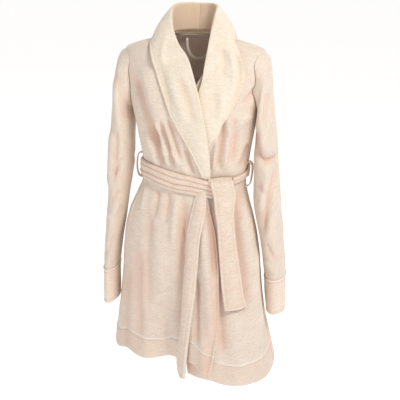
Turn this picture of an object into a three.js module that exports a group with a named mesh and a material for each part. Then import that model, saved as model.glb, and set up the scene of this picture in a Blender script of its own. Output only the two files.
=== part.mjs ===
// Short wrap bathrobe with a shawl collar, a tied belt, set-in sleeves and added cuffs.
// Millimetres, +Z up. The robe hangs as it does on a wearer who faces -Y, so the wearer's left is +X.
// The origin is the middle of the neck opening, level with the points where collar and shoulder meet.
import * as THREE from "three";

// ---- Driving dimensions ----
const SQUARENESS = 2.3; // exponent of the body's horizontal sections: 2 is an ellipse
const FABRIC = 2.6; // one layer of brushed knit
const FACING = 1.8; // one layer of facing or pocket cloth
const LAYER_GAP = 1.6; // air between two layers that lie on each other
const LAP_GAP = 3.4; // air between the two lapped fronts
const SEAM_GAP = 0.8; // gap left along a sewn seam

const ARMHOLE_HEIGHT = 76; // half of it
const ARMHOLE_DEPTH = 52; // half of it
const ARMHOLE_Z = -112;
const ARMHOLE_TOP = ARMHOLE_Z + ARMHOLE_HEIGHT;
const ARMHOLE_BOTTOM = ARMHOLE_Z - ARMHOLE_HEIGHT;
const SHOULDER_SEAM_Y = -22; // the seam runs in front of the shoulder ridge
const NECK_SEAM_Y = -29;

const COLLAR_LAYER = 3; // each of the collar's two layers
const BELT_THICKNESS = 5;
const BELT_LIFT = 2.6; // air between the body and the belt round it
const HEM_Z = -940; // middle height of the hem

// Heights of the body's sections: height, half width, centre x, depth in front, depth behind.
const BODY_SECTIONS = [
  [0, 76, 0, 58, 60],
  [-10, 118, 0, 66, 70],
  [-22, 164, 0, 76, 80],
  [-34, 190, 0, 84, 88],
  [-60, 196, 0, 96, 96],
  [-120, 186, 0, 112, 104],
  [-190, 174, 0, 122, 102],
  [-260, 161, 3, 118, 96],
  [-330, 150, 3, 112, 90],
  [-375, 145, -1, 107, 87],
  [-405, 147, -3, 104, 87],
  [-440, 158, -7, 112, 93],
  [-500, 178, -12, 134, 108],
  [-600, 196, -12, 150, 128],
  [-700, 205, -12, 162, 142],
  [-800, 217, -12, 174, 158],
  [-880, 231, -10, 183, 170],
  [-970, 245, -5, 191, 183],
];

// Below the waist the front swings forward on the wearer's left and has one deep fold near its centre.
const FLARE = { top: -430, reach: 480, swing: 0.0016, fold: 62, foldX: -45, foldWidth: 48, foldEnd: 0.5 };
const HEM_TILT = 20; // how far the hem rides up over the right hip and down over the left one

// ---- Small tools ----
const { PI, abs, cos, exp, max, min, sign, sin, sqrt } = Math;
const DEGREE = PI / 180;
const mix = (a, b, t) => a + (b - a) * t;
const clamp01 = (t) => min(1, max(0, t));
const smooth = (t) => clamp01(t) ** 2 * (3 - 2 * clamp01(t));
const vec = (x, y, z) => new THREE.Vector3(x, y, z);

// Value of column c of a table at key k, with straight stretches between its rows. Keys fall from row to row.
function read(table, k, c) {
  if (k >= table[0][0]) return table[0][c];
  const last = table.length - 1;
  if (k <= table[last][0]) return table[last][c];
  const i = table.findIndex((row) => row[0] < k) - 1;
  return mix(table[i][c], table[i + 1][c], (table[i][0] - k) / (table[i][0] - table[i + 1][0]));
}

// Table of rows that are read at t from 0 to 1, spread evenly over its rows.
function blendRows(rows, t) {
  const f = clamp01(t) * (rows.length - 1);
  const i = min(rows.length - 2, Math.floor(f));
  return rows[i].map((value, c) => mix(value, rows[i + 1][c], f - i));
}

// ---- The body's surface ----
// A section is a superellipse. angle is 0 at the front centre and 90 degrees at the wearer's left side.
// A lift moves the point along the surface's normal, which comes from points a small step to either side.
const STEP = { angle: 0.02, z: 4 };

function body(angle, z, lift = 0) {
  const point = bodySkin(angle, z);
  if (!lift) return point;
  const along = bodySkin(angle + STEP.angle, z).sub(bodySkin(angle - STEP.angle, z));
  const up = bodySkin(angle, min(0, z + STEP.z)).sub(bodySkin(angle, z - STEP.z));
  const normal = along.cross(up).normalize();
  return point.addScaledVector(normal, lift);
}

function bodySkin(angle, z) {
  const [a, cx, front, back] = [1, 2, 3, 4].map((c) => read(BODY_SECTIONS, z, c));
  const s = sin(angle);
  const c = cos(angle);
  const power = 2 / SQUARENESS;
  const x = a * sign(s) * abs(s) ** power;
  let y = (c > 0 ? -front : back) * abs(c) ** power;
  const flare = smooth((FLARE.top - z) / FLARE.reach);
  if (c > 0) {
    const bell = exp(-(((x - FLARE.foldX) / FLARE.foldWidth) ** 2));
    const fold = FLARE.fold * bell * smooth(c / FLARE.foldEnd);
    y = y * (1 + FLARE.swing * x * flare) + flare * fold;
  }
  return vec(x + cx, y, z);
}

// Angle at which the section at height z has the given y.
function angleAtY(z, y, side) {
  const depth = read(BODY_SECTIONS, z, y < 0 ? 3 : 4);
  const c = clamp01(abs(y) / depth) ** (SQUARENESS / 2);
  return side * Math.acos(y < 0 ? c : -c);
}

// Height of the hem at angle.
const hemZ = (angle) => HEM_Z - HEM_TILT * sin(angle);

// y of the armhole's edge at height z, in front (face -1) or behind (face 1).
function armholeY(z, face) {
  const rise = (z - ARMHOLE_Z) / ARMHOLE_HEIGHT;
  return SHOULDER_SEAM_Y * smooth(rise) + face * ARMHOLE_DEPTH * sqrt(max(0, 1 - rise * rise));
}

// Angle of a panel's side edge at height z: shoulder seam, then armhole, then side seam.
function sideEdge(z, side, face) {
  const gap = (face * SEAM_GAP) / 2;
  if (z >= ARMHOLE_TOP) {
    const y = mix(NECK_SEAM_Y, SHOULDER_SEAM_Y, z / ARMHOLE_TOP);
    return angleAtY(z, y + gap, side);
  }
  if (z > ARMHOLE_BOTTOM) return angleAtY(z, armholeY(z, face) + gap, side);
  return angleAtY(z, gap, side);
}

// ---- Closed meshes ----
// A mesh between two grids of points: outer(u, v) and inner(u, v), u and v from 0 to 1.
function shell(name, material, columns, rows, outer, inner, closed = false) {
  const positions = [];
  const across = closed ? columns : columns + 1;
  for (const side of [outer, inner])
    for (let j = 0; j <= rows; j++)
      for (let i = 0; i < across; i++) positions.push(...side(i / columns, j / rows).toArray());
  const layer = across * (rows + 1);
  const at = (side, i, j) => side * layer + j * across + (i % across);
  const index = [];
  const quad = (a, b, c, d) => index.push(a, b, c, a, c, d);
  for (let j = 0; j < rows; j++)
    for (let i = 0; i < columns; i++) {
      quad(at(0, i, j), at(0, i + 1, j), at(0, i + 1, j + 1), at(0, i, j + 1));
      quad(at(1, i, j), at(1, i, j + 1), at(1, i + 1, j + 1), at(1, i + 1, j));
    }
  for (let i = 0; i < columns; i++) {
    quad(at(1, i, 0), at(1, i + 1, 0), at(0, i + 1, 0), at(0, i, 0));
    quad(at(0, i, rows), at(0, i + 1, rows), at(1, i + 1, rows), at(1, i, rows));
  }
  for (let j = 0; j < rows && !closed; j++) {
    quad(at(0, 0, j), at(0, 0, j + 1), at(1, 0, j + 1), at(1, 0, j));
    quad(at(1, columns, j), at(1, columns, j + 1), at(0, columns, j + 1), at(0, columns, j));
  }
  return meshOf(name, material, positions, index);
}

// A closed mesh with its faces turned outwards.
function meshOf(name, material, positions, index) {
  const p = (i) => vec(...positions.slice(3 * i, 3 * i + 3));
  let volume = 0;
  for (let i = 0; i < index.length; i += 3)
    volume += p(index[i]).dot(p(index[i + 1]).cross(p(index[i + 2])));
  if (volume < 0)
    for (let i = 0; i < index.length; i += 3)
      [index[i + 1], index[i + 2]] = [index[i + 2], index[i + 1]];
  const geometry = new THREE.BufferGeometry();
  geometry.setAttribute("position", new THREE.Float32BufferAttribute(positions, 3));
  geometry.setIndex(index);
  geometry.computeVertexNormals();
  const mesh = new THREE.Mesh(geometry, material);
  mesh.name = name;
  return mesh;
}

// ---- Materials ----
const cloth = (color, roughness = 0.92) =>
  new THREE.MeshStandardMaterial({ color, roughness, metalness: 0 });
const bodyKnit = () => cloth(0xf0d9c8);
const collarKnit = () => cloth(0xf8e9d6);
const beltKnit = () => cloth(0xf1dccb);
const cuffKnit = () => cloth(0xedcfbf);
const innerCloth = () => cloth(0xe8ccba);
const tape = () => cloth(0xf4e6da, 0.8);

// ---- Panels ----
// Rows of a panel, from the shoulder to the hem. One more lies on the hem line.
const PANEL_ROWS = [0, -10, -22, -34, -60, -90, -120, -155, -190, -260, -330, -375, -405, -440,
  -500, -600, -700, -800, -880];

// Columns of each panel. Layers that lie on each other share them, so that their facets stay apart.
const COLUMNS = { back: 18, right: 15, left: 12 };

// from and to pick a stretch of a panel's columns; start and end are its edges, as angles at a height.
function panel(name, material, { columns, from = 0, to = columns, top = 0, start, end, lift, thickness }) {
  const heights = PANEL_ROWS.filter((z) => z <= top);
  const rows = heights.length;
  const place = (u, v, drop) => {
    const row = Math.round(v * rows);
    const level = row < rows ? heights[row] : HEM_Z;
    const angle = mix(start(level), end(level), mix(from, to, u) / columns);
    const z = row < rows ? level : hemZ(angle);
    return body(angle, z, lift(angle) - drop);
  };
  return shell(name, material, to - from, rows, (u, v) => place(u, v, 0), (u, v) => place(u, v, thickness));
}

// Front edge of the right front, which laps over the left one, and of the left front under it, in degrees.
const RIGHT_EDGE = [[0, -50], [-40, -24], [-90, 0], [-200, 10], [-340, 17], [-420, 21], [-520, 29],
  [-700, 31], [-800, 29], [-870, 25], [-960, 19]];
const LEFT_EDGE = [[0, 50], [-40, 24], [-90, 8], [-200, -2], [-340, -8], [-500, 0], [-960, 3]];
const rightEdge = (z) => read(RIGHT_EDGE, z, 1) * DEGREE;
const leftEdge = (z) => read(LEFT_EDGE, z, 1) * DEGREE;

// The left front lies behind the right one, and comes out to the body's surface beyond the lap, in degrees.
const UNDER_LIFT = -(FABRIC + FACING + LAYER_GAP + LAP_GAP);
const LAP_END = 40;
const LAP_FADE = 25;
const onTop = () => 0;
const underLap = (angle) => UNDER_LIFT * (1 - smooth((angle / DEGREE - LAP_END) / LAP_FADE));

const BACK = { columns: COLUMNS.back, lift: onTop, thickness: FABRIC,
  start: (z) => sideEdge(z, 1, 1), end: (z) => 2 * PI + sideEdge(z, -1, 1) };
const RIGHT = { columns: COLUMNS.right, lift: onTop, thickness: FABRIC,
  start: (z) => sideEdge(z, -1, -1), end: rightEdge };
const LEFT = { columns: COLUMNS.left, lift: underLap, thickness: FABRIC,
  start: leftEdge, end: (z) => sideEdge(z, 1, -1) };

const panels = () => [
  panel("back_panel", bodyKnit(), BACK),
  panel("right_front_panel", bodyKnit(), RIGHT),
  panel("left_front_panel", bodyKnit(), LEFT),
];

// A facing backs the edge of each front, for some of its columns, from below the belt to the hem.
const FACING_TOP = -440;
const FACING_COLUMNS = 3;
const under = (front) => (angle) => front.lift(angle) - FABRIC - LAYER_GAP;
const facings = () => [
  panel("right_front_facing", innerCloth(),
    { ...RIGHT, from: COLUMNS.right - FACING_COLUMNS, top: FACING_TOP, lift: under(RIGHT), thickness: FACING }),
  panel("left_front_facing", innerCloth(),
    { ...LEFT, to: FACING_COLUMNS, top: FACING_TOP, lift: under(LEFT), thickness: FACING }),
];

// A flat pocket bag hangs inside each front from the side seam. Its angles are in degrees.
const POCKET = { top: -470, bottom: -640, seam: 85, depth: 52, corner: 10, gap: 2 };

function pockets() {
  const bag = (name, side) => {
    const place = (u, v, drop) => {
      const z = mix(POCKET.top, POCKET.bottom, v);
      const far = POCKET.depth + POCKET.corner * abs(2 * v - 1) ** 3;
      const angle = side * mix(POCKET.seam, far, u) * DEGREE;
      return body(angle, z, UNDER_LIFT - POCKET.gap - drop);
    };
    return shell(name, innerCloth(), 4, 6, (u, v) => place(u, v, 0), (u, v) => place(u, v, 2 * FACING));
  };
  return [bag("right_pocket_bag", -1), bag("left_pocket_bag", 1)];
}

// ---- Sleeves and cuffs ----
// A sleeve's rings, from the armhole to the cuff: outer line x and z, inner line x and z, centre y, half depth.
const SLEEVE_RINGS = {
  right: [
    [203, -45, 176, -203, -4, 57],
    [214, -68, 174, -222, -5, 61],
    [223, -112, 174, -246, -6, 62],
    [230, -180, 176, -290, -7, 62],
    [238, -275, 178, -350, -8, 60],
    [246, -380, 188, -430, -10, 58],
    [255, -490, 203, -520, -12, 56],
    [262, -590, 219, -600, -14, 55],
    [268, -676, 229, -676, -16, 54],
  ],
  left: [
    [202, -44, 176, -203, -4, 57],
    [208, -68, 174, -222, -5, 61],
    [213, -112, 170, -246, -6, 62],
    [220, -185, 168, -300, -7, 62],
    [230, -280, 169, -370, -8, 60],
    [239, -380, 170, -450, -10, 58],
    [248, -490, 183, -530, 0, 56],
    [256, -590, 193, -606, 12, 55],
    [262, -680, 202, -684, 22, 54],
  ],
};
const CUFF_RINGS = {
  right: [[271, -679.5, 227, -679.5, -16, 56], [271, -735, 229, -735, -17, 55], [270, -784, 231, -782, -18, 54]],
  left: [[264, -683.5, 200, -687.5, 22, 56], [264, -740, 203, -742, 24, 55], [262, -792, 208, -792, 26, 54]],
};

// A point of a ring, moved in or out by offset. turn 0 is its outer line, a quarter turn its front.
function ringPoint(row, side, turn, offset) {
  const [ox, oz, ix, iz, cy, depth] = row;
  const outer = vec(side * ox, cy, oz);
  const inner = vec(side * ix, cy, iz);
  const middle = outer.clone().add(inner).multiplyScalar(0.5);
  const arm = outer.sub(middle);
  const reach = arm.length();
  const c = cos(turn);
  const s = sin(turn);
  const swing = arm.multiplyScalar((c * (reach + offset)) / reach);
  return middle.add(swing).add(vec(0, -s * (depth + offset), 0));
}

// A point of the armhole's edge, SEAM_GAP outside of the panels' edges.
function armholePoint(side, turn, offset) {
  const rise = cos(turn);
  const z = ARMHOLE_Z + (ARMHOLE_HEIGHT - SEAM_GAP) * rise;
  const y = SHOULDER_SEAM_Y * smooth(rise) - (ARMHOLE_DEPTH - SEAM_GAP) * sin(turn);
  const skin = body(angleAtY(z, y, side), z, 0);
  return skin.add(vec(side * 1.5, offset * sin(turn), -offset * rise));
}

const TUBE_SIDES = 14;
const CUFF_THICKNESS = 1.6 * FABRIC;

function sleeve(name, side, rings) {
  const rows = rings.length;
  const place = (u, v, offset) => {
    const j = Math.round(v * rows);
    const turn = 2 * PI * u;
    return j === 0 ? armholePoint(side, turn, -offset) : ringPoint(rings[j - 1], side, turn, offset);
  };
  return shell(name, bodyKnit(), TUBE_SIDES, rows,
    (u, v) => place(u, v, 0), (u, v) => place(u, v, -FABRIC), true);
}

function cuff(name, side, rings) {
  const place = (u, v, offset) =>
    ringPoint(rings[Math.round(v * (rings.length - 1))], side, 2 * PI * u, offset);
  return shell(name, cuffKnit(), TUBE_SIDES, rings.length - 1,
    (u, v) => place(u, v, 0), (u, v) => place(u, v, -CUFF_THICKNESS), true);
}

// ---- Collar ----
// A point over the front of the body at x and z, lifted off it.
function chest(x, z, lift) {
  const s = max(-1, min(1, (x - read(BODY_SECTIONS, z, 2)) / read(BODY_SECTIONS, z, 1)));
  return body(sign(s) * Math.asin(abs(s) ** (SQUARENESS / 2)), z, lift);
}

// Stations of each half of the shawl collar, from the back of the neck to its front end. Each has the roll
// line, the outer edge and the inner seam: x, y, z round the neck, then x and z on the chest.
const NECK_STATIONS = [
  [[0.6, 70, 78], [0.6, 104, -14], [0.6, 52, 8]],
  [[34, 56, 80], [70, 92, -12], [32, 47, 8]],
  [[57, 14, 80], [108, 30, 4], [58, 18, 8]],
  [[59, -20, 64], [113, -34, -2], [62, -12, 8]],
];
const RIGHT_STATIONS = [
  [[-47, -56, 28], [-106, -76, -22], [-56, -42, 6]],
  [[-26, -84, -8], [-96, -98, -48], [-44, -72, -14]],
  [[3, -47], [-86, -76], [-26, -60]],
  [[26, -106], [-70, -116], [-4, -110]],
  [[40, -155], [-55, -155], [8, -155]],
  [[48, -192], [-41, -188], [17, -190]],
  [[54, -230], [-28, -216], [24, -230]],
  [[60, -284], [6, -276], [34, -284]],
  [[62, -326], [38, -326], [48, -326]],
];
const LEFT_STATIONS = [
  [[55, -50, 28], [134, -66, -32], [64, -40, 6]],
  [[52, -78, -12], [150, -78, -70], [78, -60, -16]],
  [[48, -60], [146, -110], [76, -72]],
  [[46, -100], [132, -150], [72, -114]],
  [[48, -140], [116, -188], [70, -156]],
  [[56, -180], [100, -226], [74, -200]],
  [[64, -226], [84, -258], [74, -242]],
];
const ROLL_LIFT = 14;
const FALL_LIFT = 8.5;
const STAND_LIFT = 3.6;
const CREASE_SHARE = 0.1; // of the way from the crease, where the inner face gets its own edge
const MIN_SPREAD = 1e-4;

function station(row, side) {
  const lifts = [ROLL_LIFT, FALL_LIFT, STAND_LIFT];
  return row.map((q, i) => (q.length === 2 ? chest(q[0], q[1], lifts[i]) : vec(side * abs(q[0]), q[1], q[2])));
}

// A cross-section goes down from the outer edge to the roll line and back under it to the inner seam.
function collar(name, side, rows) {
  const stations = [...NECK_STATIONS, ...rows].map((row) => station(row, side));
  const half = COLLAR_LAYER / 2;
  const section = (v) => {
    const [roll, edge, seam] = stations[Math.round(v * (stations.length - 1))];
    const fall = edge.clone().sub(roll).normalize();
    const stand = seam.clone().sub(roll).normalize();
    const bisector = fall.clone().add(stand).normalize();
    const spread = sqrt(max(MIN_SPREAD, (1 - fall.dot(stand)) / 2));
    const offFall = fall.clone().sub(stand).addScaledVector(fall, fall.dot(stand) - 1).normalize();
    const offStand = stand.clone().sub(fall).addScaledVector(stand, fall.dot(stand) - 1).normalize();
    return { roll, edge, seam, bisector, spread, offFall, offStand };
  };
  const outer = (u, v) => {
    const { roll, edge, seam, bisector, offFall, offStand } = section(v);
    return [
      edge.clone().addScaledVector(offFall, -half),
      roll.clone().addScaledVector(offFall, -half),
      roll.clone().addScaledVector(bisector, -half),
      roll.clone().addScaledVector(offStand, -half),
      seam.clone().addScaledVector(offStand, -half),
    ][Math.round(4 * u)];
  };
  const inner = (u, v) => {
    const { roll, edge, seam, bisector, spread, offFall, offStand } = section(v);
    const crease = roll.clone().addScaledVector(bisector, half / spread);
    const edgeIn = edge.clone().addScaledVector(offFall, half);
    const seamIn = seam.clone().addScaledVector(offStand, half);
    const besideEdge = crease.clone().lerp(edgeIn, CREASE_SHARE);
    const besideSeam = crease.clone().lerp(seamIn, CREASE_SHARE);
    return [edgeIn, besideEdge, crease, besideSeam, seamIn][Math.round(4 * u)];
  };
  return shell(name, collarKnit(), 4, stations.length - 1, outer, inner);
}

// ---- Belt ----
// Upper and lower edge of the belt round the waist: angle in degrees, upper z, lower z.
const BELT_EDGES = [
  [260, -346, -396], [180, -340, -394], [100, -350, -394], [85, -356, -394], [50, -362, -396],
  [18, -371, -421], [0, -357, -412], [-20, -346, -402], [-66, -335, -387], [-100, -346, -396],
];

const BELT_EDGE_SHARE = 0.35; // of the belt's thickness, at its edges

function beltRun(name, from, to, columns) {
  const place = (u, v, face) => {
    const angle = mix(from, to, u);
    const z = mix(read(BELT_EDGES, angle, 1), read(BELT_EDGES, angle, 2), v);
    const crown = v > 0 && v < 1 ? 1 : BELT_EDGE_SHARE;
    return body(angle * DEGREE, z, BELT_LIFT + (face > 0 ? BELT_THICKNESS * crown : 0));
  };
  return shell(name, beltKnit(), columns, 3, (u, v) => place(u, v, 1), (u, v) => place(u, v, 0));
}

// The knot is a soft block over the left end of the right-hand run.
const KNOT = { left: 58, right: 118, top: -364, bottom: -414, lift: 20, sag: 6, sideShare: 0.5, endShare: 0.55 };

function knot() {
  const place = (u, v, face) => {
    const x = mix(KNOT.left, KNOT.right, u);
    const z = mix(KNOT.top, KNOT.bottom, v) - KNOT.sag * sin(PI * u) * (v - 0.5);
    const crown = (u > 0 && u < 1 ? 1 : KNOT.sideShare) * (v > 0 && v < 1 ? 1 : KNOT.endShare);
    return chest(x, z, BELT_LIFT + face * KNOT.lift * crown);
  };
  return shell("belt_knot", beltKnit(), 4, 4, (u, v) => place(u, v, 1), (u, v) => place(u, v, 0));
}

// A tail hangs from the knot. rows: height, left x, right x, lift off the body.
const FRONT_TAIL = [
  [-376, 63, 114, 25], [-418, 68, 120, 25], [-450, 74, 122, 15], [-500, 84, 127, 10],
  [-580, 95, 140, 9], [-650, 103, 151, 9], [-726, 114, 167, 9],
];
const UNDER_TAIL = [
  [-430, 18, 50, 4], [-480, 12, 48, 4], [-540, 4, 42, 4], [-620, -1, 38, 5], [-700, -6, 33, 5],
  [-790, -12, 26, 6], [-870, -17, 20, 6], [-955, -13, 16, 6],
];

const TAIL_THICKNESS = 0.8 * BELT_THICKNESS;

function tail(name, rows) {
  const place = (u, v, face) => {
    const [z, left, right, lift] = blendRows(rows, v);
    return chest(mix(left, right, u), z, lift + face * TAIL_THICKNESS);
  };
  return shell(name, beltKnit(), 3, rows.length - 1, (u, v) => place(u, v, 1), (u, v) => place(u, v, 0));
}

// ---- Belt loops ----
// Each loop is a narrow band that stands off the side seam and lets the belt through.
const LOOP = { width: 9, thickness: 2, reach: 18, top: -326, bottom: -402, gap: 1.2, bulge: 0.6, angle: 84 };
const WAIST_Z = -375;

function beltLoop(name, side) {
  const place = (u, v, face) => {
    const across = (u - 0.5) * (LOOP.width / read(BODY_SECTIONS, WAIST_Z, 3));
    const half = (LOOP.top - LOOP.bottom) / 2 - face * LOOP.thickness;
    const z = (LOOP.top + LOOP.bottom) / 2 + half * cos(PI * v);
    const lift = LOOP.gap + (LOOP.reach - face * LOOP.thickness) * sin(PI * v) ** LOOP.bulge;
    return body(side * LOOP.angle * DEGREE + across, z, lift);
  };
  return shell(name, beltKnit(), 1, 12, (u, v) => place(u, v, 0), (u, v) => place(u, v, 1));
}

// ---- Inside the back of the neck ----
const NECK_TAPE = { top: -2, bottom: -10, from: 122, to: 238, gap: 2, thickness: 1.2 };
const HANGER_LOOP = { width: 7, thickness: 1.6, half: 36, y: 47, top: -14, drop: 58, tilt: 6, squareness: 0.7 };
const LABEL = { half: 24, top: -90, bottom: -130, y: 78, lean: 1.2, thickness: 1 };

function neckTape() {
  const place = (u, v, drop) =>
    body(mix(NECK_TAPE.from, NECK_TAPE.to, u) * DEGREE, mix(NECK_TAPE.top, NECK_TAPE.bottom, v), -drop);
  return shell("back_neck_tape", tape(), 10, 1,
    (u, v) => place(u, v, FABRIC + NECK_TAPE.gap),
    (u, v) => place(u, v, FABRIC + NECK_TAPE.gap + NECK_TAPE.thickness));
}

// The hanging loop is a cord-like band, bent in a U below the tape.
function hangerLoop() {
  const { width, thickness, half, y, top, drop, tilt, squareness } = HANGER_LOOP;
  const place = (u, v, face) => {
    const turn = PI * v;
    const reach = face > 0 ? 1 : 1 - width / half;
    const x = -half * cos(turn) * reach;
    const down = drop * sin(turn) ** squareness * (face > 0 ? 1 : 1 - width / drop);
    return vec(x, y - down * sin(tilt * DEGREE) - u * thickness, top - down * cos(tilt * DEGREE));
  };
  return shell("hanger_loop", tape(), 1, 14, (u, v) => place(u, v, 1), (u, v) => place(u, v, 0));
}

function careLabel() {
  const place = (u, v, drop) =>
    vec(mix(-LABEL.half, LABEL.half, u), LABEL.y - LABEL.lean * v - drop, mix(LABEL.top, LABEL.bottom, v));
  return shell("care_label", tape(), 1, 1,
    (u, v) => place(u, v, 0), (u, v) => place(u, v, LABEL.thickness));
}

// ---- The robe ----
const robe = new THREE.Group();
robe.add(
  ...panels(),
  ...facings(),
  ...pockets(),
  sleeve("right_sleeve", -1, SLEEVE_RINGS.right),
  sleeve("left_sleeve", 1, SLEEVE_RINGS.left),
  cuff("right_cuff", -1, CUFF_RINGS.right),
  cuff("left_cuff", 1, CUFF_RINGS.left),
  collar("right_collar", -1, RIGHT_STATIONS),
  collar("left_collar", 1, LEFT_STATIONS),
  beltRun("belt_right_run", -97, 19, 14),
  beltRun("belt_back_run", 99, 261, 18),
  beltRun("belt_left_run", 58, 97, 6),
  knot(),
  tail("belt_front_tail", FRONT_TAIL),
  tail("belt_under_tail", UNDER_TAIL),
  beltLoop("right_belt_loop", -1),
  beltLoop("left_belt_loop", 1),
  neckTape(),
  hangerLoop(),
  careLabel(),
);

export default robe;
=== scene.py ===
"""Short wrap bathrobe: brushed knit, shawl collar, tied belt, set-in sleeves with added cuffs.

Lengths are millimetres inside the shape functions and metres in the meshes. The robe faces -Y, its wearer's
left is +X, and the origin is the middle of the neck opening.
"""
import math

import bpy
import numpy as np
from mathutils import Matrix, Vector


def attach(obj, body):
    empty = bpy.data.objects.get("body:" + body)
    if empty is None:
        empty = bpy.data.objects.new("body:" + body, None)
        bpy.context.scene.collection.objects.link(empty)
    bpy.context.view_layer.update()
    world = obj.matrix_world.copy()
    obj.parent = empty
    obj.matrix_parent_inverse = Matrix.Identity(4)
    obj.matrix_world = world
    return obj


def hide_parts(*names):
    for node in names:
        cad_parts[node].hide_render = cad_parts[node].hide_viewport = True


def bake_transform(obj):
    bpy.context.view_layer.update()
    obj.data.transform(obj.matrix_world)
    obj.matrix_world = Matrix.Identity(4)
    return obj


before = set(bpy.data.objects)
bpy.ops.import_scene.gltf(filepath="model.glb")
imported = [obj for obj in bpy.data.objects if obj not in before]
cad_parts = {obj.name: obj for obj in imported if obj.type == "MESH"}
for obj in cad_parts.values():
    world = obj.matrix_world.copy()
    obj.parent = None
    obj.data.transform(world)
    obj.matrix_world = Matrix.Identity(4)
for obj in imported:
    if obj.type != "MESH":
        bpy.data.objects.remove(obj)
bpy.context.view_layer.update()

bl_info = {
    "name": "Wrap bathrobe",
    "version": (1, 0, 0),
    "blender": (4, 5, 0),
    "location": "View3D > Sidebar > Robe",
    "description": "Builds the cloth pieces of a short wrap bathrobe round its frame",
    "category": "Object",
}

MM = 0.001
DEGREE = math.pi / 180
SIDES = {"right": -1, "left": 1}  # sign of x on each side of the wearer

# ---- The robe's measures, in millimetres ----
SQUARENESS = 2.3  # exponent of the body's horizontal sections: 2 is an ellipse
KNIT = 2.6
FACING = 1.8
LAYER_GAP = 0.8
LAP_GAP = 0.8
HEM_Z = -940
ARMHOLE_HEIGHT = 76  # half of it
ARMHOLE_DEPTH = 52  # half of it
ARMHOLE_Z = -112
ARMHOLE_TOP = ARMHOLE_Z + ARMHOLE_HEIGHT
ARMHOLE_BOTTOM = ARMHOLE_Z - ARMHOLE_HEIGHT
SHOULDER_SEAM_Y = -22
NECK_SEAM_Y = -29
WAIST_Z = -372
FLARE = {"from": 430, "over": 480, "swing": 0.0016}  # depth below the neck, length, forward swing by x
DEEP_FOLD = {"height": 62, "x": -45, "width": 48}  # of the skirt, in front
RIPPLE = 1.8

# Sections of the body: depth below the neck, half width, centre x, depth in front, depth behind.
SECTIONS = np.array([
    (0, 76, 0, 58, 60), (10, 118, 0, 66, 70), (22, 164, 0, 76, 80), (34, 190, 0, 84, 88), (60, 196, 0, 96, 96),
    (120, 186, 0, 112, 104), (190, 174, 0, 122, 102), (260, 161, 3, 118, 96), (330, 150, 3, 112, 90),
    (375, 145, -1, 107, 87), (405, 147, -3, 104, 87), (440, 158, -7, 112, 93), (500, 178, -12, 134, 108),
    (600, 196, -12, 150, 128), (700, 205, -12, 162, 142), (800, 217, -12, 174, 158), (880, 231, -10, 183, 170),
    (970, 245, -5, 191, 183),
], float)

# Front edges: depth below the neck, angle in degrees.
RIGHT_EDGE = np.array([(0, -50), (40, -24), (90, 0), (200, 10), (340, 17), (420, 21), (520, 29), (700, 31),
                       (800, 29), (870, 25), (960, 18)], float)
LEFT_EDGE = np.array([(0, 50), (40, 24), (90, 8), (200, -2), (340, -8), (500, 0), (960, 3)], float)

# Hems: angle in degrees, height.
RIGHT_HEM = np.array([(-92, -930), (-66, -930), (-46, -914), (-30, -920), (-16, -920), (-7, -914), (0, -900),
                      (7, -886), (13, -899), (19, -913), (25, -920)], float)
LEFT_HEM = np.array([(-4, -926), (10, -927), (21, -931), (30, -940), (43, -947), (53, -951), (66, -958),
                     (80, -963), (92, -964)], float)
BACK_HEM = np.array([(88, -964), (118, -952), (150, -946), (180, -936), (212, -943), (242, -932), (272, -930)],
                    float)
HEM_BAND = 62  # from the hem to its stitching
HEM_SLIDE = {"from": 640, "over": 230}  # depth below the neck, length

STITCH_PITCH = 4.4
STITCH_LENGTH = 3.6
FINE_THREAD = 0.36  # radius

# Rolled edges: a ridge and then a groove, each with its height, its distance from the edge and its width.
PANEL_ROLL = ((1.9, 3.2, 3), (1.2, 9, 2.2))
COLLAR_ROLL = ((0.9, 3.5, 2.6), (0.7, 8, 2))
TAIL_ROLL = ((1.0, 3, 2.4), (0.8, 7.5, 2))
CUFF_TOP_ROLL = ((1.2, 3, 2.6), (1.2, 8.5, 2))
CUFF_END_ROLL = ((0.8, 3, 3), (1.0, 8, 2))
# Painted light beside a tail's edges, each an amount, a distance from the edge and a width: painted shade in the
# groove, then painted highlight on the ridge, which is taken away.
TAIL_PAINTED_SHADE_AND_HIGHLIGHT = ((0.22, 7.5, 2.2), (0.28, 2.4, 1.8))

FOLD_STRENGTH = 2.0
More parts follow.
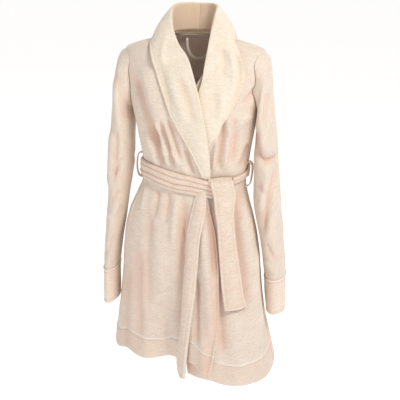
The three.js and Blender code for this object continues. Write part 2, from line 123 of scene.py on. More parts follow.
# Folds in front: height (below 0 for a valley), width, then points x, z from one end to the other.
FRONT_FOLDS = [
    (-8, 17, (-152, -75), (-128, -150), (-96, -235), (-70, -305)),
    (5, 22, (-122, -60), (-102, -150), (-64, -245)),
    (-6, 7, (-74, -195), (-53, -262), (-28, -345)),
    (5, 8, (-88, -200), (-68, -268), (-44, -345)),
    (-5, 7, (-50, -190), (-34, -262), (-12, -345)),
    (5, 7, (-61, -200), (-43, -268), (-20, -345)),
    (-6, 8, (-106, -215), (-86, -280), (-64, -345)),
    (4, 9, (-122, -240), (-104, -290), (-84, -345)),
    (5, 7, (-45, -280), (-20, -320), (9, -362)),
    (-6, 6, (-4, -276), (8, -320), (22, -362)),
    (-7, 8, (103, -190), (94, -262), (82, -352)),
    (5, 7, (84, -240), (80, -290), (70, -350)),
    (5, 8, (116, -200), (108, -270), (97, -352)),
    (-5, 8, (126, -190), (128, -262), (118, -340)),
    (-5, 9, (162, -275), (150, -315), (136, -348)),
    (-4, 9, (148, -165), (166, -140), (180, -120)),
    (4, 10, (168, -190), (140, -215), (112, -250)),
    (-5, 20, (-146, -560), (-146, -730), (-143, -905)),
    (7, 24, (-76, -500), (-70, -736), (-78, -935)),
    (-5, 15, (-108, -440), (-108, -600), (-112, -800)),
    (-4, 15, (-186, -640), (-190, -780), (-192, -935)),
    (-12, 10, (-8, -415), (-9, -521), (-14, -650), (-18, -860)),
    (5, 9, (-30, -410), (-32, -470), (-36, -560)),
    (-4, 6, (-52, -405), (-54, -440), (-58, -500)),
    (-4, 7, (-84, -400), (-88, -440), (-94, -490)),
    (4, 8, (-120, -398), (-126, -430), (-134, -480)),
    (-10, 11, (126, -395), (140, -527), (160, -640), (174, -780)),
    (7, 17, (152, -420), (182, -594), (207, -850)),
    (-6, 12, (106, -600), (108, -733), (122, -870)),
    (7, 20, (146, -700), (163, -960)),
    (-4, 9, (166, -470), (184, -610)),
    (-7, 10, (56, -415), (78, -531), (90, -650)),
    (7, 13, (46, -450), (60, -600), (76, -730), (86, -830)),
    (-7, 9, (34, -620), (38, -720), (42, -840)),
    (5, 14, (62, -780), (66, -930)),
]

# Folds behind, in the same way.
BACK_FOLDS = [
    (-6, 9, (-30, -350), (-24, -290), (-10, -210)),
    (5, 10, (2, -350), (0, -290), (4, -215)),
    (-6, 9, (34, -350), (30, -285), (16, -215)),
    (5, 9, (-58, -350), (-52, -290), (-34, -225)),
    (5, 9, (62, -350), (56, -285), (40, -225)),
    (-6, 10, (-90, -350), (-104, -270), (-128, -185)),
    (-6, 10, (94, -350), (106, -270), (130, -185)),
    (5, 12, (-116, -345), (-130, -270), (-146, -200)),
    (5, 12, (118, -345), (132, -270), (148, -200)),
    (-8, 15, (-66, -400), (-84, -560), (-104, -760), (-118, -940)),
    (8, 18, (-34, -400), (-44, -560), (-56, -760), (-64, -940)),
    (-8, 15, (2, -400), (0, -560), (-6, -760), (-10, -940)),
    (8, 18, (38, -400), (46, -560), (52, -760), (54, -940)),
    (-8, 15, (70, -400), (86, -560), (104, -760), (116, -960)),
    (7, 18, (104, -400), (126, -560), (148, -760), (164, -960)),
    (7, 18, (-104, -400), (-126, -560), (-150, -760), (-168, -940)),
]

# Sleeve rings: outer line x and z, inner line x and z, centre y, half depth.
SLEEVE_RINGS = {
    "right": [
        (203, -45, 176, -203, -4, 57), (214, -68, 174, -222, -5, 61), (223, -112, 174, -246, -6, 62),
        (230, -180, 176, -290, -7, 62), (238, -275, 178, -350, -8, 60), (246, -380, 188, -430, -10, 58),
        (255, -490, 203, -520, -12, 56), (262, -590, 219, -600, -14, 55), (268, -678, 229, -678, -16, 54),
    ],
    "left": [
        (202, -44, 176, -203, -4, 57), (208, -68, 174, -222, -5, 61), (213, -112, 170, -246, -6, 62),
        (220, -185, 168, -300, -7, 62), (230, -280, 169, -370, -8, 60), (239, -380, 170, -450, -10, 58),
        (248, -490, 183, -530, 0, 56), (256, -590, 193, -606, 12, 55), (262, -682, 202, -686, 22, 54),
    ],
}
CUFF_RINGS = {
    "right": [
        (270, -676, 227, -676, -16, 56), (271, -735, 229, -735, -17, 55), (270, -784, 231, -782, -18, 54),
    ],
    "left": [
        (263, -680, 200, -684, 22, 56), (264, -740, 203, -742, 24, 55), (262, -792, 208, -792, 26, 54),
    ],
}
SLEEVE_FOLDS = {
    "right": [
        (-4, 12, (-200, -90), (-194, -150), (-186, -200), (-178, -240)),
        (4, 11, (-214, -110), (-206, -180), (-196, -260)),
        (-5, 10, (-208, -240), (-214, -330), (-226, -420)),
        (4, 12, (-226, -250), (-232, -340), (-240, -440)),
        (-4, 8, (-192, -330), (-212, -372), (-232, -392)),
        (-4, 8, (-202, -430), (-222, -458), (-242, -462)),
        (3, 8, (-206, -460), (-226, -500), (-250, -512)),
        (-3, 8, (-222, -560), (-240, -610), (-258, -640)),
    ],
    "left": [
        (-8, 10, (186, -225), (179, -262), (184, -292), (202, -312), (224, -314), (244, -298)),
        (6, 9, (198, -215), (197, -256), (208, -287), (230, -294), (246, -280)),
        (-6, 9, (238, -318), (226, -400), (211, -478), (198, -545)),
        (6, 10, (216, -330), (205, -400), (194, -470)),
        (5, 9, (247, -340), (238, -410), (226, -480), (214, -550)),
        (-4, 8, (186, -380), (206, -408), (226, -410)),
        (-4, 9, (210, -120), (204, -170), (198, -225)),
        (-4, 8, (212, -560), (228, -600), (252, -622)),
        (3, 8, (206, -620), (230, -650), (256, -662)),
    ],
}
ELBOW_FOLDS = [  # behind, for the left sleeve
    (-7, 14, (178, -330), (205, -350), (232, -345)),
    (6, 14, (180, -352), (208, -372), (236, -368)),
    (-6, 14, (186, -385), (212, -396), (240, -390)),
]
SLEEVE_FOLD_STRENGTH = {"front": 1.6, "behind": 0.6}
SLEEVE_SIDES = 104
CUFF_THICKNESS = 3.6

# Collar: roll line, outer edge and inner seam at stations from the back of the neck to the collar's front end.
# Three numbers are x, y, z round the neck, and two are x, z on the chest.
NECK_STATIONS = [
    ((0, 70, 78), (0, 104, -14), (0, 52, 8)),
    ((34, 56, 80), (70, 92, -12), (32, 47, 8)),
    ((57, 14, 80), (108, 30, -6), (58, 18, 8)),
    ((59, -20, 64), (114, -32, -10), (62, -12, 8)),
]
CHEST_STATIONS = {
    "right": [
        ((-47, -56, 28), (-106, -76, -22), (-56, -42, 6)), ((-26, -84, -8), (-96, -98, -48), (-44, -72, -14)),
        ((3, -47), (-86, -76), (-26, -60)), ((26, -106), (-70, -116), (-4, -110)),
        ((40, -155), (-55, -155), (8, -155)), ((48, -192), (-41, -188), (17, -190)),
        ((54, -230), (-28, -216), (24, -230)), ((59, -276), (0, -268), (32, -276)),
        ((62, -318), (22, -312), (40, -318)), ((62, -352), (38, -352), (48, -352)),
        ((60, -382), (44, -386), (50, -384)),
    ],
    "left": [
        ((55, -50, 28), (134, -66, -32), (64, -40, 6)), ((52, -78, -12), (150, -78, -70), (78, -60, -16)),
        ((47, -60), (147, -104), (76, -72)), ((42, -98), (137, -140), (72, -114)),
        ((31, -134), (122, -176), (62, -150)), ((22, -170), (104, -212), (52, -188)),
        ((20, -205), (86, -249), (44, -225)), ((22, -245), (68, -281), (40, -262)),
        ((28, -290), (50, -318), (38, -300)),
    ],
}
# Lifts of the roll line, outer edge and inner seam, in turn: at the neck, then at the collar's front end.
COLLAR_LIFTS = {"right": ((13.0, 4.6, 3.4), (7.0, 3.4, 2.6)), "left": ((15.0, 4.6, 3.4), (4.5, 3.4, 2.4))}
COLLAR = {"roll_radius": 4.2, "narrows": 2.4, "crown": 6.5, "thickness": 3.2}
COLLAR_SINK = {"depth": 10, "from": 354, "over": 16}  # of its front end, behind the belt
COLLAR_FOLLOWS = 0.7  # share of the folds under it that the collar follows
COLLAR_FOLDS = {
    "right": [
        (4, 8, (-60, 20), (-66, -30), (-58, -70)),
        (-5, 12, (-20, -75), (8, -140), (30, -215)),
        (4, 12, (-52, -60), (-22, -140), (6, -215)),
        (-3, 8, (-70, -60), (-52, -120), (-30, -180)),
    ],
    "left": [
        (-5, 8, (84, -10), (96, -50), (98, -95)),
        (5, 8, (106, -20), (120, -70), (116, -120)),
        (-3, 10, (72, -70), (78, -130), (82, -190)),
        (-5, 5, (112, -4), (131, -48), (137, -92), (129, -134), (112, -172)),
        (3, 8, (98, -8), (116, -52), (122, -96), (114, -138), (98, -174)),
        (4, 12, (92, -110), (94, -160), (92, -205)),
    ],
}

# Belt round the waist: angle in degrees, upper z, lower z.
BELT_EDGES = np.array([
    (-100, -346, -396), (-66, -336, -388), (-46, -337, -389), (-20, -346, -402), (0, -357, -413),
    (18, -370, -421), (30, -376, -424), (46, -367, -391), (60, -366, -386), (86, -362, -383),
    (100, -352, -392), (180, -340, -394), (260, -346, -396),
], float)
# Its runs: start and end angle, then for each groove its share of the way down at both ends and its depth.
BELT_RUNS = {
    "right": (-97, 27, [(0.20, 0.24, 2.6), (0.60, 0.50, 2.8), (0.86, 0.76, 2.4)]),
    "back": (99, 261, [(0.35, 0.30, 2.0), (0.75, 0.72, 1.8)]),
    "left": (52, 97, [(0.45, 0.40, 2.0)]),
}
BELT_THICKNESS = 5
BELT_LIFT = 2.6
BELT_FOLLOWS = 0.3
TAIL_FOLLOWS = 0.5
TAIL_RIPPLE = (0.9, 31)
KNOT = {"left": 56, "right": 116, "top": -366, "bottom": -414, "lift": 17}
# Tails: height, left x, right x, lift off the body.
FRONT_TAIL = [
    (-374, 62, 111, 23), (-398, 66, 115, 22), (-425, 70, 120, 17), (-460, 76, 123, 11), (-500, 85, 128, 9),
    (-560, 92, 137, 9), (-620, 99, 146, 9), (-680, 107, 156, 10), (-727, 115, 167, 10),
]
UNDER_TAIL = [
    (-400, 30, 50, 7), (-425, 19, 53, 8), (-465, 12, 53, 10), (-523, 5, 44, 9), (-591, 2, 41, 8),
    (-680, -4, 36, 8), (-773, -10, 28, 8), (-833, -14, 23, 8), (-890, -18, 19, 8), (-922, -14, 17, 8),
    (-938, -4, 14, 8),
]
# What each tail takes: its rows, its shape, its threads (inset from a border, then the shares where they start
# and end), the two points of its bend entry, handed to bent(), and its length in metres.
TAILS = {
    "front": {"rows": FRONT_TAIL, "shape": {"over": 7.0},
              "threads": [(6, 0.02, 0.985), (-6, 0.02, 0.985)],
              "bend": ((85, -130, -376), (85, -130, -440)), "length": 0.38},
    "under": {"rows": UNDER_TAIL, "shape": {"bow": 4.5, "roll": 1.3, "tuck": 6.5},
              "threads": [(-5.5, 0.1, 0.98)],
              "bend": ((34, -118, -424), (34, -118, -490)), "length": 0.54},
}
LOOP = {"angle": 84, "radius": 107, "left_drop": 8, "width": 9.5, "thickness": 2.8, "reach": 21, "top": -326,
        "bottom": -402}


# ---- Curves ----
def smooth(t):
    """Rises from 0 to 1 as t does, level at both ends: 3t^2 - 2t^3."""
    t = np.clip(t, 0, 1)
    return t * t * (3 - 2 * t)


def hump(distance, width):
    """Bell curve: exp(-(distance / width)^2)."""
    return np.exp(-((distance / width) ** 2))


def rolled(distance, ridge, groove):
    """Height of a rolled edge at a distance from it: the ridge less the groove."""
    return ridge[0] * hump(distance - ridge[1], ridge[2]) - groove[0] * hump(distance - groove[1], groove[2])


def read(table, key):
    """Columns 1 and on of a table at key, by cubics whose slope at each row is the harmonic mean of the slopes
    beside it, so nothing overshoots."""
    x = table[:, 0]
    key = np.clip(key, x[0], x[-1])
    i = np.clip(np.searchsorted(x, key, side="right") - 1, 0, len(x) - 2)
    step = np.diff(x)
    t = (key - x[i]) / step[i]
    columns = []
    for y in table[:, 1:].T:
        slope = np.diff(y) / step
        before, after = slope[:-1], slope[1:]
        total = np.where(before + after == 0, 1, before + after)
        inner = np.where(before * after > 0, 2 * before * after / total, 0)
        m = np.concatenate([slope[:1], inner, slope[-1:]])
        value = (2 * t ** 3 - 3 * t ** 2 + 1) * y[i] + (3 * t ** 2 - 2 * t ** 3) * y[i + 1]
        value = value + ((t ** 3 - 2 * t ** 2 + t) * m[i] + (t ** 3 - t ** 2) * m[i + 1]) * step[i]
        columns.append(value)
    return columns


def through(rows, t):
    """Smooth curve through rows, spread evenly over t from 0 to 1 (a Catmull-Rom spline)."""
    rows = np.asarray(rows, float)
    f = np.clip(t, 0, 1) * (len(rows) - 1)
    i = np.minimum(f.astype(int), len(rows) - 2)
    u = (f - i).reshape(f.shape + (1,) * (rows.ndim - 1))
    wide = np.concatenate([2 * rows[:1] - rows[1:2], rows, 2 * rows[-1:] - rows[-2:-1]])
    a, b, c, d = (wide[i + k] for k in range(4))
    return b + 0.5 * u * (c - a + u * (2 * a - 5 * b + 4 * c - d + u * (3 * (b - c) + d - a)))


def graded(length, coarse, fine=1.5, zones=()):
    """Positions from 0 to length, coarse apart, and fine apart inside the zones (centre, half width)."""
    s = np.linspace(0, length, 4000)
    gap = np.full_like(s, coarse)
    for centre, half in zones:
        gap = np.minimum(gap, fine + (coarse - fine) * smooth((np.abs(s - centre) - half) / (4 * coarse)))
    count = np.concatenate([[0], np.cumsum(np.diff(s) / gap[1:])])
    return np.interp(np.linspace(0, count[-1], math.ceil(count[-1]) + 1), count, s)


def running_length(points, axis):
    """Distance along a grid of points from its first row or column."""
    steps = np.linalg.norm(np.diff(points, axis=axis), axis=-1)
    start = np.zeros_like(np.take(steps, [0], axis=axis))
    return np.concatenate([start, np.cumsum(steps, axis=axis)], axis=axis)


def unit(v):
    """Vectors scaled to length 1."""
    return v / np.maximum(np.linalg.norm(v, axis=-1, keepdims=True), 1e-9)


def grid_normals(points, wrap=False):
    """Normals of a grid: across x down, with differences between neighbours."""
    if wrap:
        across = np.roll(points, -1, axis=1) - np.roll(points, 1, axis=1)
    else:
        across = np.gradient(points, axis=1)
    return unit(np.cross(across, np.gradient(points, axis=0)))


def fold_field(x, z, folds):
    """Height of the folds at x, z: each is a bell curve of the distance to its line, and fades at both ends."""
    total = np.zeros(np.broadcast(x, z).shape)
    for height, width, *points in folds:
        line = through(points, np.linspace(0, 1, 4 * len(points)))
        lengths = running_length(line, 0)
        nearest = np.full(total.shape, 1e9)
        along = np.zeros(total.shape)
        for k in range(len(line) - 1):
            d = line[k + 1] - line[k]
            t = np.clip(((x - line[k, 0]) * d[0] + (z - line[k, 1]) * d[1]) / (d @ d), 0, 1)
            far = np.hypot(x - line[k, 0] - t * d[0], z - line[k, 1] - t * d[1])
            reached = lengths[k] + t * (lengths[k + 1] - lengths[k])
            along = np.where(far < nearest, reached / lengths[-1], along)
            nearest = np.minimum(nearest, far)
        fade = smooth(along / 0.22) * smooth((1 - along) / 0.22)
        total = total + height * hump(nearest, width) * fade
    return total


def ripples(x, z, size, seed):
    """Small uneven waves: a sum of sines whose directions, lengths and phases come from a seeded draw."""
    draw = np.random.default_rng(seed)
    total = 0
    for length in np.geomspace(34, 150, 9):
        turn, phase = draw.uniform(0, 2 * np.pi, 2)
        wave = (x * np.cos(turn) + 0.5 * z * np.sin(turn)) * 2 * np.pi / length
        total = total + size * (length / 150) ** 0.7 * np.sin(wave + phase)
    return total / 3


# ---- The body's surface ----
def skin(angle, z):
    """Superellipse sections whose size follows SECTIONS. Below the waist the front swings forward on the
    wearer's left and has one deep fold near its centre. angle is 0 at the front and a quarter turn at the
    wearer's left."""
    half, middle, front, back = read(SECTIONS, -z)
    s, c = np.sin(angle), np.cos(angle)
    power = 2 / SQUARENESS
    x = half * np.sign(s) * np.abs(s) ** power
    y = np.where(c > 0, -front, back) * np.abs(c) ** power
    flare = smooth((-z - FLARE["from"]) / FLARE["over"])
    fold = DEEP_FOLD["height"] * hump(x - DEEP_FOLD["x"], DEEP_FOLD["width"]) * smooth(np.abs(c) / 0.5)
    y = np.where(c > 0, y * (1 + FLARE["swing"] * x * flare) + flare * fold, y)
    return np.stack(np.broadcast_arrays(x + middle, y, z), -1)


def skin_normal(angle, z):
    """Outward normal of the body's surface, from the points 0.02 turns and 4 mm to either side."""
    along = skin(angle + 0.02, z) - skin(angle - 0.02, z)
    up = skin(angle, np.minimum(z + 4, 0)) - skin(angle, z - 4)
    return unit(np.cross(along, up))


def relief(angle, z):
    """Height of folds and ripples over the body's surface. It dies away at the side seams, the shoulders and
    the belt, so that the panels meet."""
    point = skin(angle, z)
    x = point[..., 0]
    c = np.cos(angle)
    front = FOLD_STRENGTH * fold_field(x, z, FRONT_FOLDS) + ripples(x, z, RIPPLE, 3)
    back = FOLD_STRENGTH * fold_field(x, z, BACK_FOLDS) + ripples(x, z, RIPPLE, 5)
    sides = smooth(np.abs(c) / 0.3)
    top = smooth((-z - 12) / 60)
    belt = 1 - 0.75 * hump(z - WAIST_Z, 28)
    return np.where(c > 0, front, back) * sides * top * belt


def on_body(angle, z, lift=0.0, folds=1.0):
    """Point lift millimetres off the folded body."""
    angle, z = np.broadcast_arrays(angle, z)
    height = lift + folds * relief(angle, z)
    return skin(angle, z) + skin_normal(angle, z) * height[..., None]


def chest_angle(x, z):
    """Angle at which the front of the body has that x."""
    half, middle = read(SECTIONS, -z)[:2]
    s = np.clip((x - middle) / half, -1, 1)
    return np.sign(s) * np.arcsin(np.abs(s) ** (SQUARENESS / 2))


def on_chest(x, z, lift, folds=1.0):
    """Point over the front of the body at x and z, lifted off it."""
    x, z = np.broadcast_arrays(x, z)
    return on_body(chest_angle(x, z), z, lift, folds)


def angle_at_y(z, y, side):
    """Angle at which the section at height z has that y, on the side +1 or -1."""
    _, _, front, back = read(SECTIONS, -z)
    c = np.clip(np.abs(y) / np.where(y < 0, front, back), 0, 1) ** (SQUARENESS / 2)
    return side * np.arccos(np.where(y < 0, c, -c))


def side_edge(z, side, face):
    """Angle of a panel's side edge: the shoulder seam, then half of the armhole's oval, then the side seam."""
    rise = np.clip((z - ARMHOLE_Z) / ARMHOLE_HEIGHT, -1, 1)
    armhole = SHOULDER_SEAM_Y * smooth(rise) + face * ARMHOLE_DEPTH * np.sqrt(1 - rise ** 2)
    shoulder = NECK_SEAM_Y + (SHOULDER_SEAM_Y - NECK_SEAM_Y) * np.clip(z / ARMHOLE_TOP, 0, 1)
    y = np.where(z >= ARMHOLE_TOP, shoulder, np.where(z > ARMHOLE_BOTTOM, armhole, face * 0.01))
    return angle_at_y(z, y, side)


# ---- Meshes ----
def make_object(name, points, faces, corner_uv=None, fold=None, materials=()):
    """A mesh object at the origin. points are in millimetres, faces are rows of 3 or 4 point numbers."""
    mesh = bpy.data.meshes.new(name)
    size = faces.shape[1]
    mesh.vertices.add(len(points))
    mesh.vertices.foreach_set("co", (points * MM).astype(np.float32).ravel())
    mesh.loops.add(faces.size)
    mesh.loops.foreach_set("vertex_index", faces.astype(np.int32).ravel())
    mesh.polygons.add(len(faces))
    mesh.polygons.foreach_set("loop_start", np.arange(0, faces.size, size, dtype=np.int32))
    mesh.polygons.foreach_set("use_smooth", np.ones(len(faces), bool))
    if corner_uv is not None:
        mesh.uv_layers.new(name="cloth").data.foreach_set("uv", corner_uv.astype(np.float32).ravel())
    # The point attribute fold carries painted light for the knits: above 0 painted shade, below 0 painted
    # highlight.
    shade = np.zeros(len(points)) if fold is None else fold
    mesh.attributes.new("fold", "FLOAT", "POINT").data.foreach_set("value", shade.astype(np.float32).ravel())
    mesh.update(calc_edges=True)
    if mesh.validate():
        raise RuntimeError(f"{name}: the mesh had faces to repair")
    for material in materials:
        mesh.materials.append(material)
    made = bpy.data.objects.new(name, mesh)
    bpy.context.scene.collection.objects.link(made)
    return made


def shell(name, outer, inner, material, wrap=False, fold=None):
    """Closed cloth between two grids of points. With wrap the last column joins the first. The texture runs in
    metres along the columns and rows."""
    rows, columns = outer.shape[:2]
    cells = columns if wrap else columns - 1
    i, j = np.meshgrid(np.arange(cells), np.arange(rows - 1))
    closed = np.concatenate([outer, outer[:, :1]], 1) if wrap else outer
    middle = closed[rows // 2]
    u = np.broadcast_to(running_length(middle, 0), (rows, len(middle)))
    v = -running_length(closed, 0)
    uv = np.stack([u, v], -1) * MM

    def at(side, column, row):
        return side * rows * columns + row * columns + column % columns

    def quads(corners):
        number = [at(side, column, row).ravel() for side, column, row in corners]
        place = [uv[row, column].reshape(-1, 2) for _, column, row in corners]
        return np.stack(number, 1), np.stack(place, 1)

    parts = [
        quads([(0, i, j), (0, i + 1, j), (0, i + 1, j + 1), (0, i, j + 1)]),
        quads([(1, i, j), (1, i, j + 1), (1, i + 1, j + 1), (1, i + 1, j)]),
    ]
    top, bottom = 0 * i[:1], 0 * i[:1] + rows - 1
    k = i[:1]
    parts.append(quads([(1, k, top), (1, k + 1, top), (0, k + 1, top), (0, k, top)]))
    parts.append(quads([(0, k, bottom), (0, k + 1, bottom), (1, k + 1, bottom), (1, k, bottom)]))
    if not wrap:
        r = j[:, :1]
        first, last = 0 * r, 0 * r + columns - 1
        parts.append(quads([(0, first, r), (0, first, r + 1), (1, first, r + 1), (1, first, r)]))
        parts.append(quads([(1, last, r), (1, last, r + 1), (0, last, r + 1), (0, last, r)]))
    faces = np.concatenate([p[0] for p in parts])
    corner_uv = np.concatenate([p[1] for p in parts])
    points = np.concatenate([outer.reshape(-1, 3), inner.reshape(-1, 3)])
    a, b, c, d = (points[faces[:, n]] for n in range(4))
    volume = np.einsum("ij,ij->", a, np.cross(b, c) + np.cross(c, d))
    if volume < 0:
        faces, corner_uv = faces[:, ::-1], corner_uv[:, ::-1]
    shade = None if fold is None else np.concatenate([fold.ravel(), fold.ravel()])
    return make_object(name, points, faces, corner_uv, shade, [material])


def cloth_area(points, wrap=False):
    """Area of a grid of points in square metres. With wrap the last column joins the first."""
    if wrap:
        points = np.concatenate([points, points[:, :1]], 1)
    a = points[1:, 1:] - points[:-1, :-1]
    b = points[1:, :-1] - points[:-1, 1:]
    return float(np.linalg.norm(np.cross(a, b), axis=-1).sum() / 2) * MM * MM


def declare(area, length):
    """Works out the width, 6% wider for slanted sides, and the area of a cloth piece cut with that area and
    length in metres, and keeps neither.
    """
    width = math.ceil(area / length * 1.06 * 100) / 100
    area = round(min(area, width * length), 4)


def sampled(values, s, at):
    """Rows of values, known at distances s, read at the distances at."""
    return np.stack([np.interp(at, s, column) for column in values.T], 1)


def stitches(name, rows, radius=0.65):
    """Rows of thread capsules. A row is a path and its normals, and a capsule is two poles and two rings of
    five points, turned to the path."""
    turn = np.arange(5) * 2 * np.pi / 5
    ring = np.stack([0 * turn, np.cos(turn), np.sin(turn)], 1) * radius
    tip = np.array([STITCH_LENGTH / 2, 0, 0])
    along = np.array([STITCH_LENGTH / 2 - radius, 0, 0])
    shape = np.concatenate([ring - along, ring + along, [-tip, tip]])
    n = np.arange(5)
    m = (n + 1) % 5
    pole = np.full(5, 10)
    sides = np.concatenate([np.stack([n, m, m + 5], 1), np.stack([n, m + 5, n + 5], 1)])
    ends = np.concatenate([np.stack([pole, m, n], 1), np.stack([pole + 1, n + 5, m + 5], 1)])
    template = np.concatenate([sides, ends])
    all_points, all_faces, count = [], [], 0
    for path, normal in rows:
        s = running_length(path, 0)
        at = np.arange(STITCH_PITCH / 2, s[-1], STITCH_PITCH)
        t = unit(sampled(path, s, at + 1) - sampled(path, s, at - 1))
        side = unit(np.cross(unit(sampled(normal, s, at)), t))
        axes = np.stack([t, side, np.cross(t, side)], 1)
        points = sampled(path, s, at)[:, None] + np.einsum("pk,nkc->npc", shape, axes)
        all_points.append(points.reshape(-1, 3))
        all_faces.append((template[None] + 12 * np.arange(len(at))[:, None, None]).reshape(-1, 3) + count)
        count += 12 * len(at)
    points, faces = np.concatenate(all_points), np.concatenate(all_faces)
    return make_object(name, points, faces, materials=[finish_named("seam_thread")])


def placed(piece, body, slot, *nodes):
    """The piece rides on a body and stands for the nodes. The slot is not used."""
    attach(piece, body)
    if nodes:
        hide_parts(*nodes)


def bent(piece, child, slot, start, end, *nodes):
    """The piece's placement is baked into its mesh, and it stands for the nodes; it is not bent.
    The moving body and the slot are not used, and the two points in millimetres are only turned into metres that
    nothing keeps.
    """
    tuple(MM * v for v in start)
    tuple(MM * v for v in end)
    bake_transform(piece)
    if nodes:
        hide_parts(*nodes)


# ---- Materials ----
def linear(red, green, blue):
    """Display colour from 0 to 255, as scene light."""
    return tuple(((v / 255 + 0.055) / 1.055) ** 2.4 if v > 10 else v / 3294.6 for v in (red, green, blue))


class Signal:
    """A number that flows from one node's socket to the next. Sums and products add Math nodes."""

    def __init__(self, shader, socket):
        self.shader = shader
        self.socket = socket

    def __add__(self, other):
        return self.shader.node("ShaderNodeMath", {"operation": "ADD"}, {0: self, 1: other})

    def __mul__(self, other):
        return self.shader.node("ShaderNodeMath", {"operation": "MULTIPLY"}, {0: self, 1: other})


class Shader:
    """One material's node tree."""

    def __init__(self, name):
        self.material = bpy.data.materials.new(name)
        self.material.use_nodes = True
        self.tree = self.material.node_tree
        self.tree.nodes.clear()

    def node(self, kind, settings=None, inputs=None, output=0):
        """Adds a node. Its settings are set first, then its sockets get values or links."""
        made = self.tree.nodes.new(kind)
        for key, value in (settings or {}).items():
            setattr(made, key, value)
        for key, value in (inputs or {}).items():
            if isinstance(value, Signal):
                self.tree.links.new(value.socket, made.inputs[key])
            else:
                made.inputs[key].default_value = value
        return Signal(self, made.outputs[output]) if len(made.outputs) else made

    def blend(self, factor, first, second):
        """Colour between first and second."""
        return self.node("ShaderNodeMix", {"data_type": "RGBA", "clamp_factor": True},
                         {0: factor, 6: first, 7: second}, output=2)

    def between(self, value, low, high):
        """0 below low, 1 above high, and even in between."""
        return self.node("ShaderNodeMapRange", {"clamp": True}, {0: value, 1: low, 2: high})

    def finished(self, sockets):
        """Ends the tree with a Principled surface that has those sockets, and returns the material."""
        surface = self.node("ShaderNodeBsdfPrincipled", {}, sockets)
        self.node("ShaderNodeOutputMaterial", {}, {"Surface": surface})
        return self.material

    def noise(self, vector, scale, detail=2.0, roughness=0.5, stretch=(1, 1, 1)):
        """Noise from 0 to 1, stretched along an axis whose number is below 1."""
        turned = self.node("ShaderNodeMapping", {}, {"Vector": vector, "Scale": stretch})
        return self.node("ShaderNodeTexNoise", {},
                         {"Vector": turned, "Scale": scale, "Detail": detail, "Roughness": roughness})


def rgba(colour, factor=1.0, white=0.0):
    """A colour with its alpha, scaled by the factor and with some white added."""
    return tuple(factor * a + white for a in colour) + (1,)


def knit(name, light, base, fold, fleck=0.4, bump=0.45):
    """Brushed knit: broad clouds of two tones, pale and dark flecks, faint courses across the cloth, painted
    shade in a warmer colour down in the folds, painted highlights along edges and stitching, and a napped
    surface."""
    s = Shader(name)
    uv = s.node("ShaderNodeTexCoord", output="UV")
    clouds = s.noise(uv, 30, 4)
    flecks = s.noise(uv, 230, 4, 0.65)
    courses = s.noise(uv, 230, 3, 0.6, (0.2, 1, 1))
    fibres = s.noise(uv, 1500, 3, 0.7)
    # The fold attribute is painted light: above 0 it is painted shade, below 0 painted highlight.
    depth = s.node("ShaderNodeAttribute", {"attribute_name": "fold"}, output="Fac")
    colour = s.blend(s.between(clouds, 0.35, 0.65), rgba(base), rgba(light))
    speck = s.between(flecks, 0.40, 0.66) * fleck + s.between(courses, 0.42, 0.68) * (0.8 * fleck)
    colour = s.blend(speck, colour, rgba(base, 0.72))
    # Painted shade: toward the warm shade colour where the fold attribute is above 0.
    colour = s.blend(depth, colour, rgba(fold))
    # Painted highlight: toward the light colour mixed with white where the fold attribute is below 0.
    colour = s.blend(depth * -1.0, colour, rgba(light, 0.35, 0.65))
    height = fibres * 0.4 + flecks * 0.35 + courses * 0.45
    normal = s.node("ShaderNodeBump", {}, {"Strength": bump, "Distance": 0.0012, "Height": height})
    return s.finished({
        "Base Color": colour, "Roughness": 0.92, "Specular IOR Level": 0.22, "Sheen Weight": 0.28,
        "Sheen Roughness": 0.5, "Sheen Tint": (1, 0.93, 0.88, 1), "Normal": normal,
    })


def thread(name, colour):
    """Twisted sewing thread: a slight sheen and fine stripes of shade along it."""
    s = Shader(name)
    place = s.node("ShaderNodeTexCoord", output="Object")
    shade = s.noise(place, 900, 2)
    return s.finished({"Base Color": s.blend(shade, rgba(colour), rgba(colour, 0.9)), "Roughness": 0.6})


def woven(name, colour, pitch):
    """Woven tape: ribs across it from a wave, with a little noise."""
    s = Shader(name)
    uv = s.node("ShaderNodeTexCoord", output="UV")
    ribs = s.node("ShaderNodeTexWave", {"bands_direction": "X"},
                  {"Vector": uv, "Scale": pitch, "Distortion": 0.6})
    tint = s.blend(ribs, rgba(colour, 0.88), rgba(colour))
    normal = s.node("ShaderNodeBump", {}, {"Strength": 0.4, "Distance": 0.0006, "Height": ribs})
    return s.finished({"Base Color": tint, "Roughness": 0.75, "Normal": normal})


def finish_named(name):
    """The material of that name, made on first use from the robe's colours."""
    if name in bpy.data.materials:
        return bpy.data.materials[name]
    c = bpy.context.scene.robe_colours
    # The fold colour is the painted shade colour that the knits take on in folds, grooves and under edges.
    body, pale, painted_shade = tuple(c.body), tuple(c.body_light), tuple(c.fold)
    makers = {
        "body_brushed_knit": lambda: knit(name, pale, body, painted_shade),
        "collar_brushed_knit": lambda: knit(name, tuple(c.collar_light), tuple(c.collar), tuple(c.collar_fold)),
        "belt_brushed_knit": lambda: knit(name, pale, tuple(c.belt), painted_shade, bump=0.3),
        "cuff_brushed_knit": lambda: knit(name, tuple(c.cuff_light), tuple(c.cuff), painted_shade),
        # The inner knit is mixed from the cuff colour and the painted shade colour, and takes the shade colour in
        # its folds.
        "inner_plain_knit": lambda: knit(name, tuple(c.cuff), painted_shade, painted_shade, 0.1, 0.2),
        "seam_thread": lambda: thread(name, tuple(c.thread)),
        "cotton_tape": lambda: woven(name, tuple(c.tape), 900),
    }
    return makers[name]()


# ---- Panels ----
UNDER_LIFT = -(KNIT + FACING + LAYER_GAP + LAP_GAP)


def right_edge(z):
    """Angle of the upper front's free edge."""
    return read(RIGHT_EDGE, -z)[0] * DEGREE


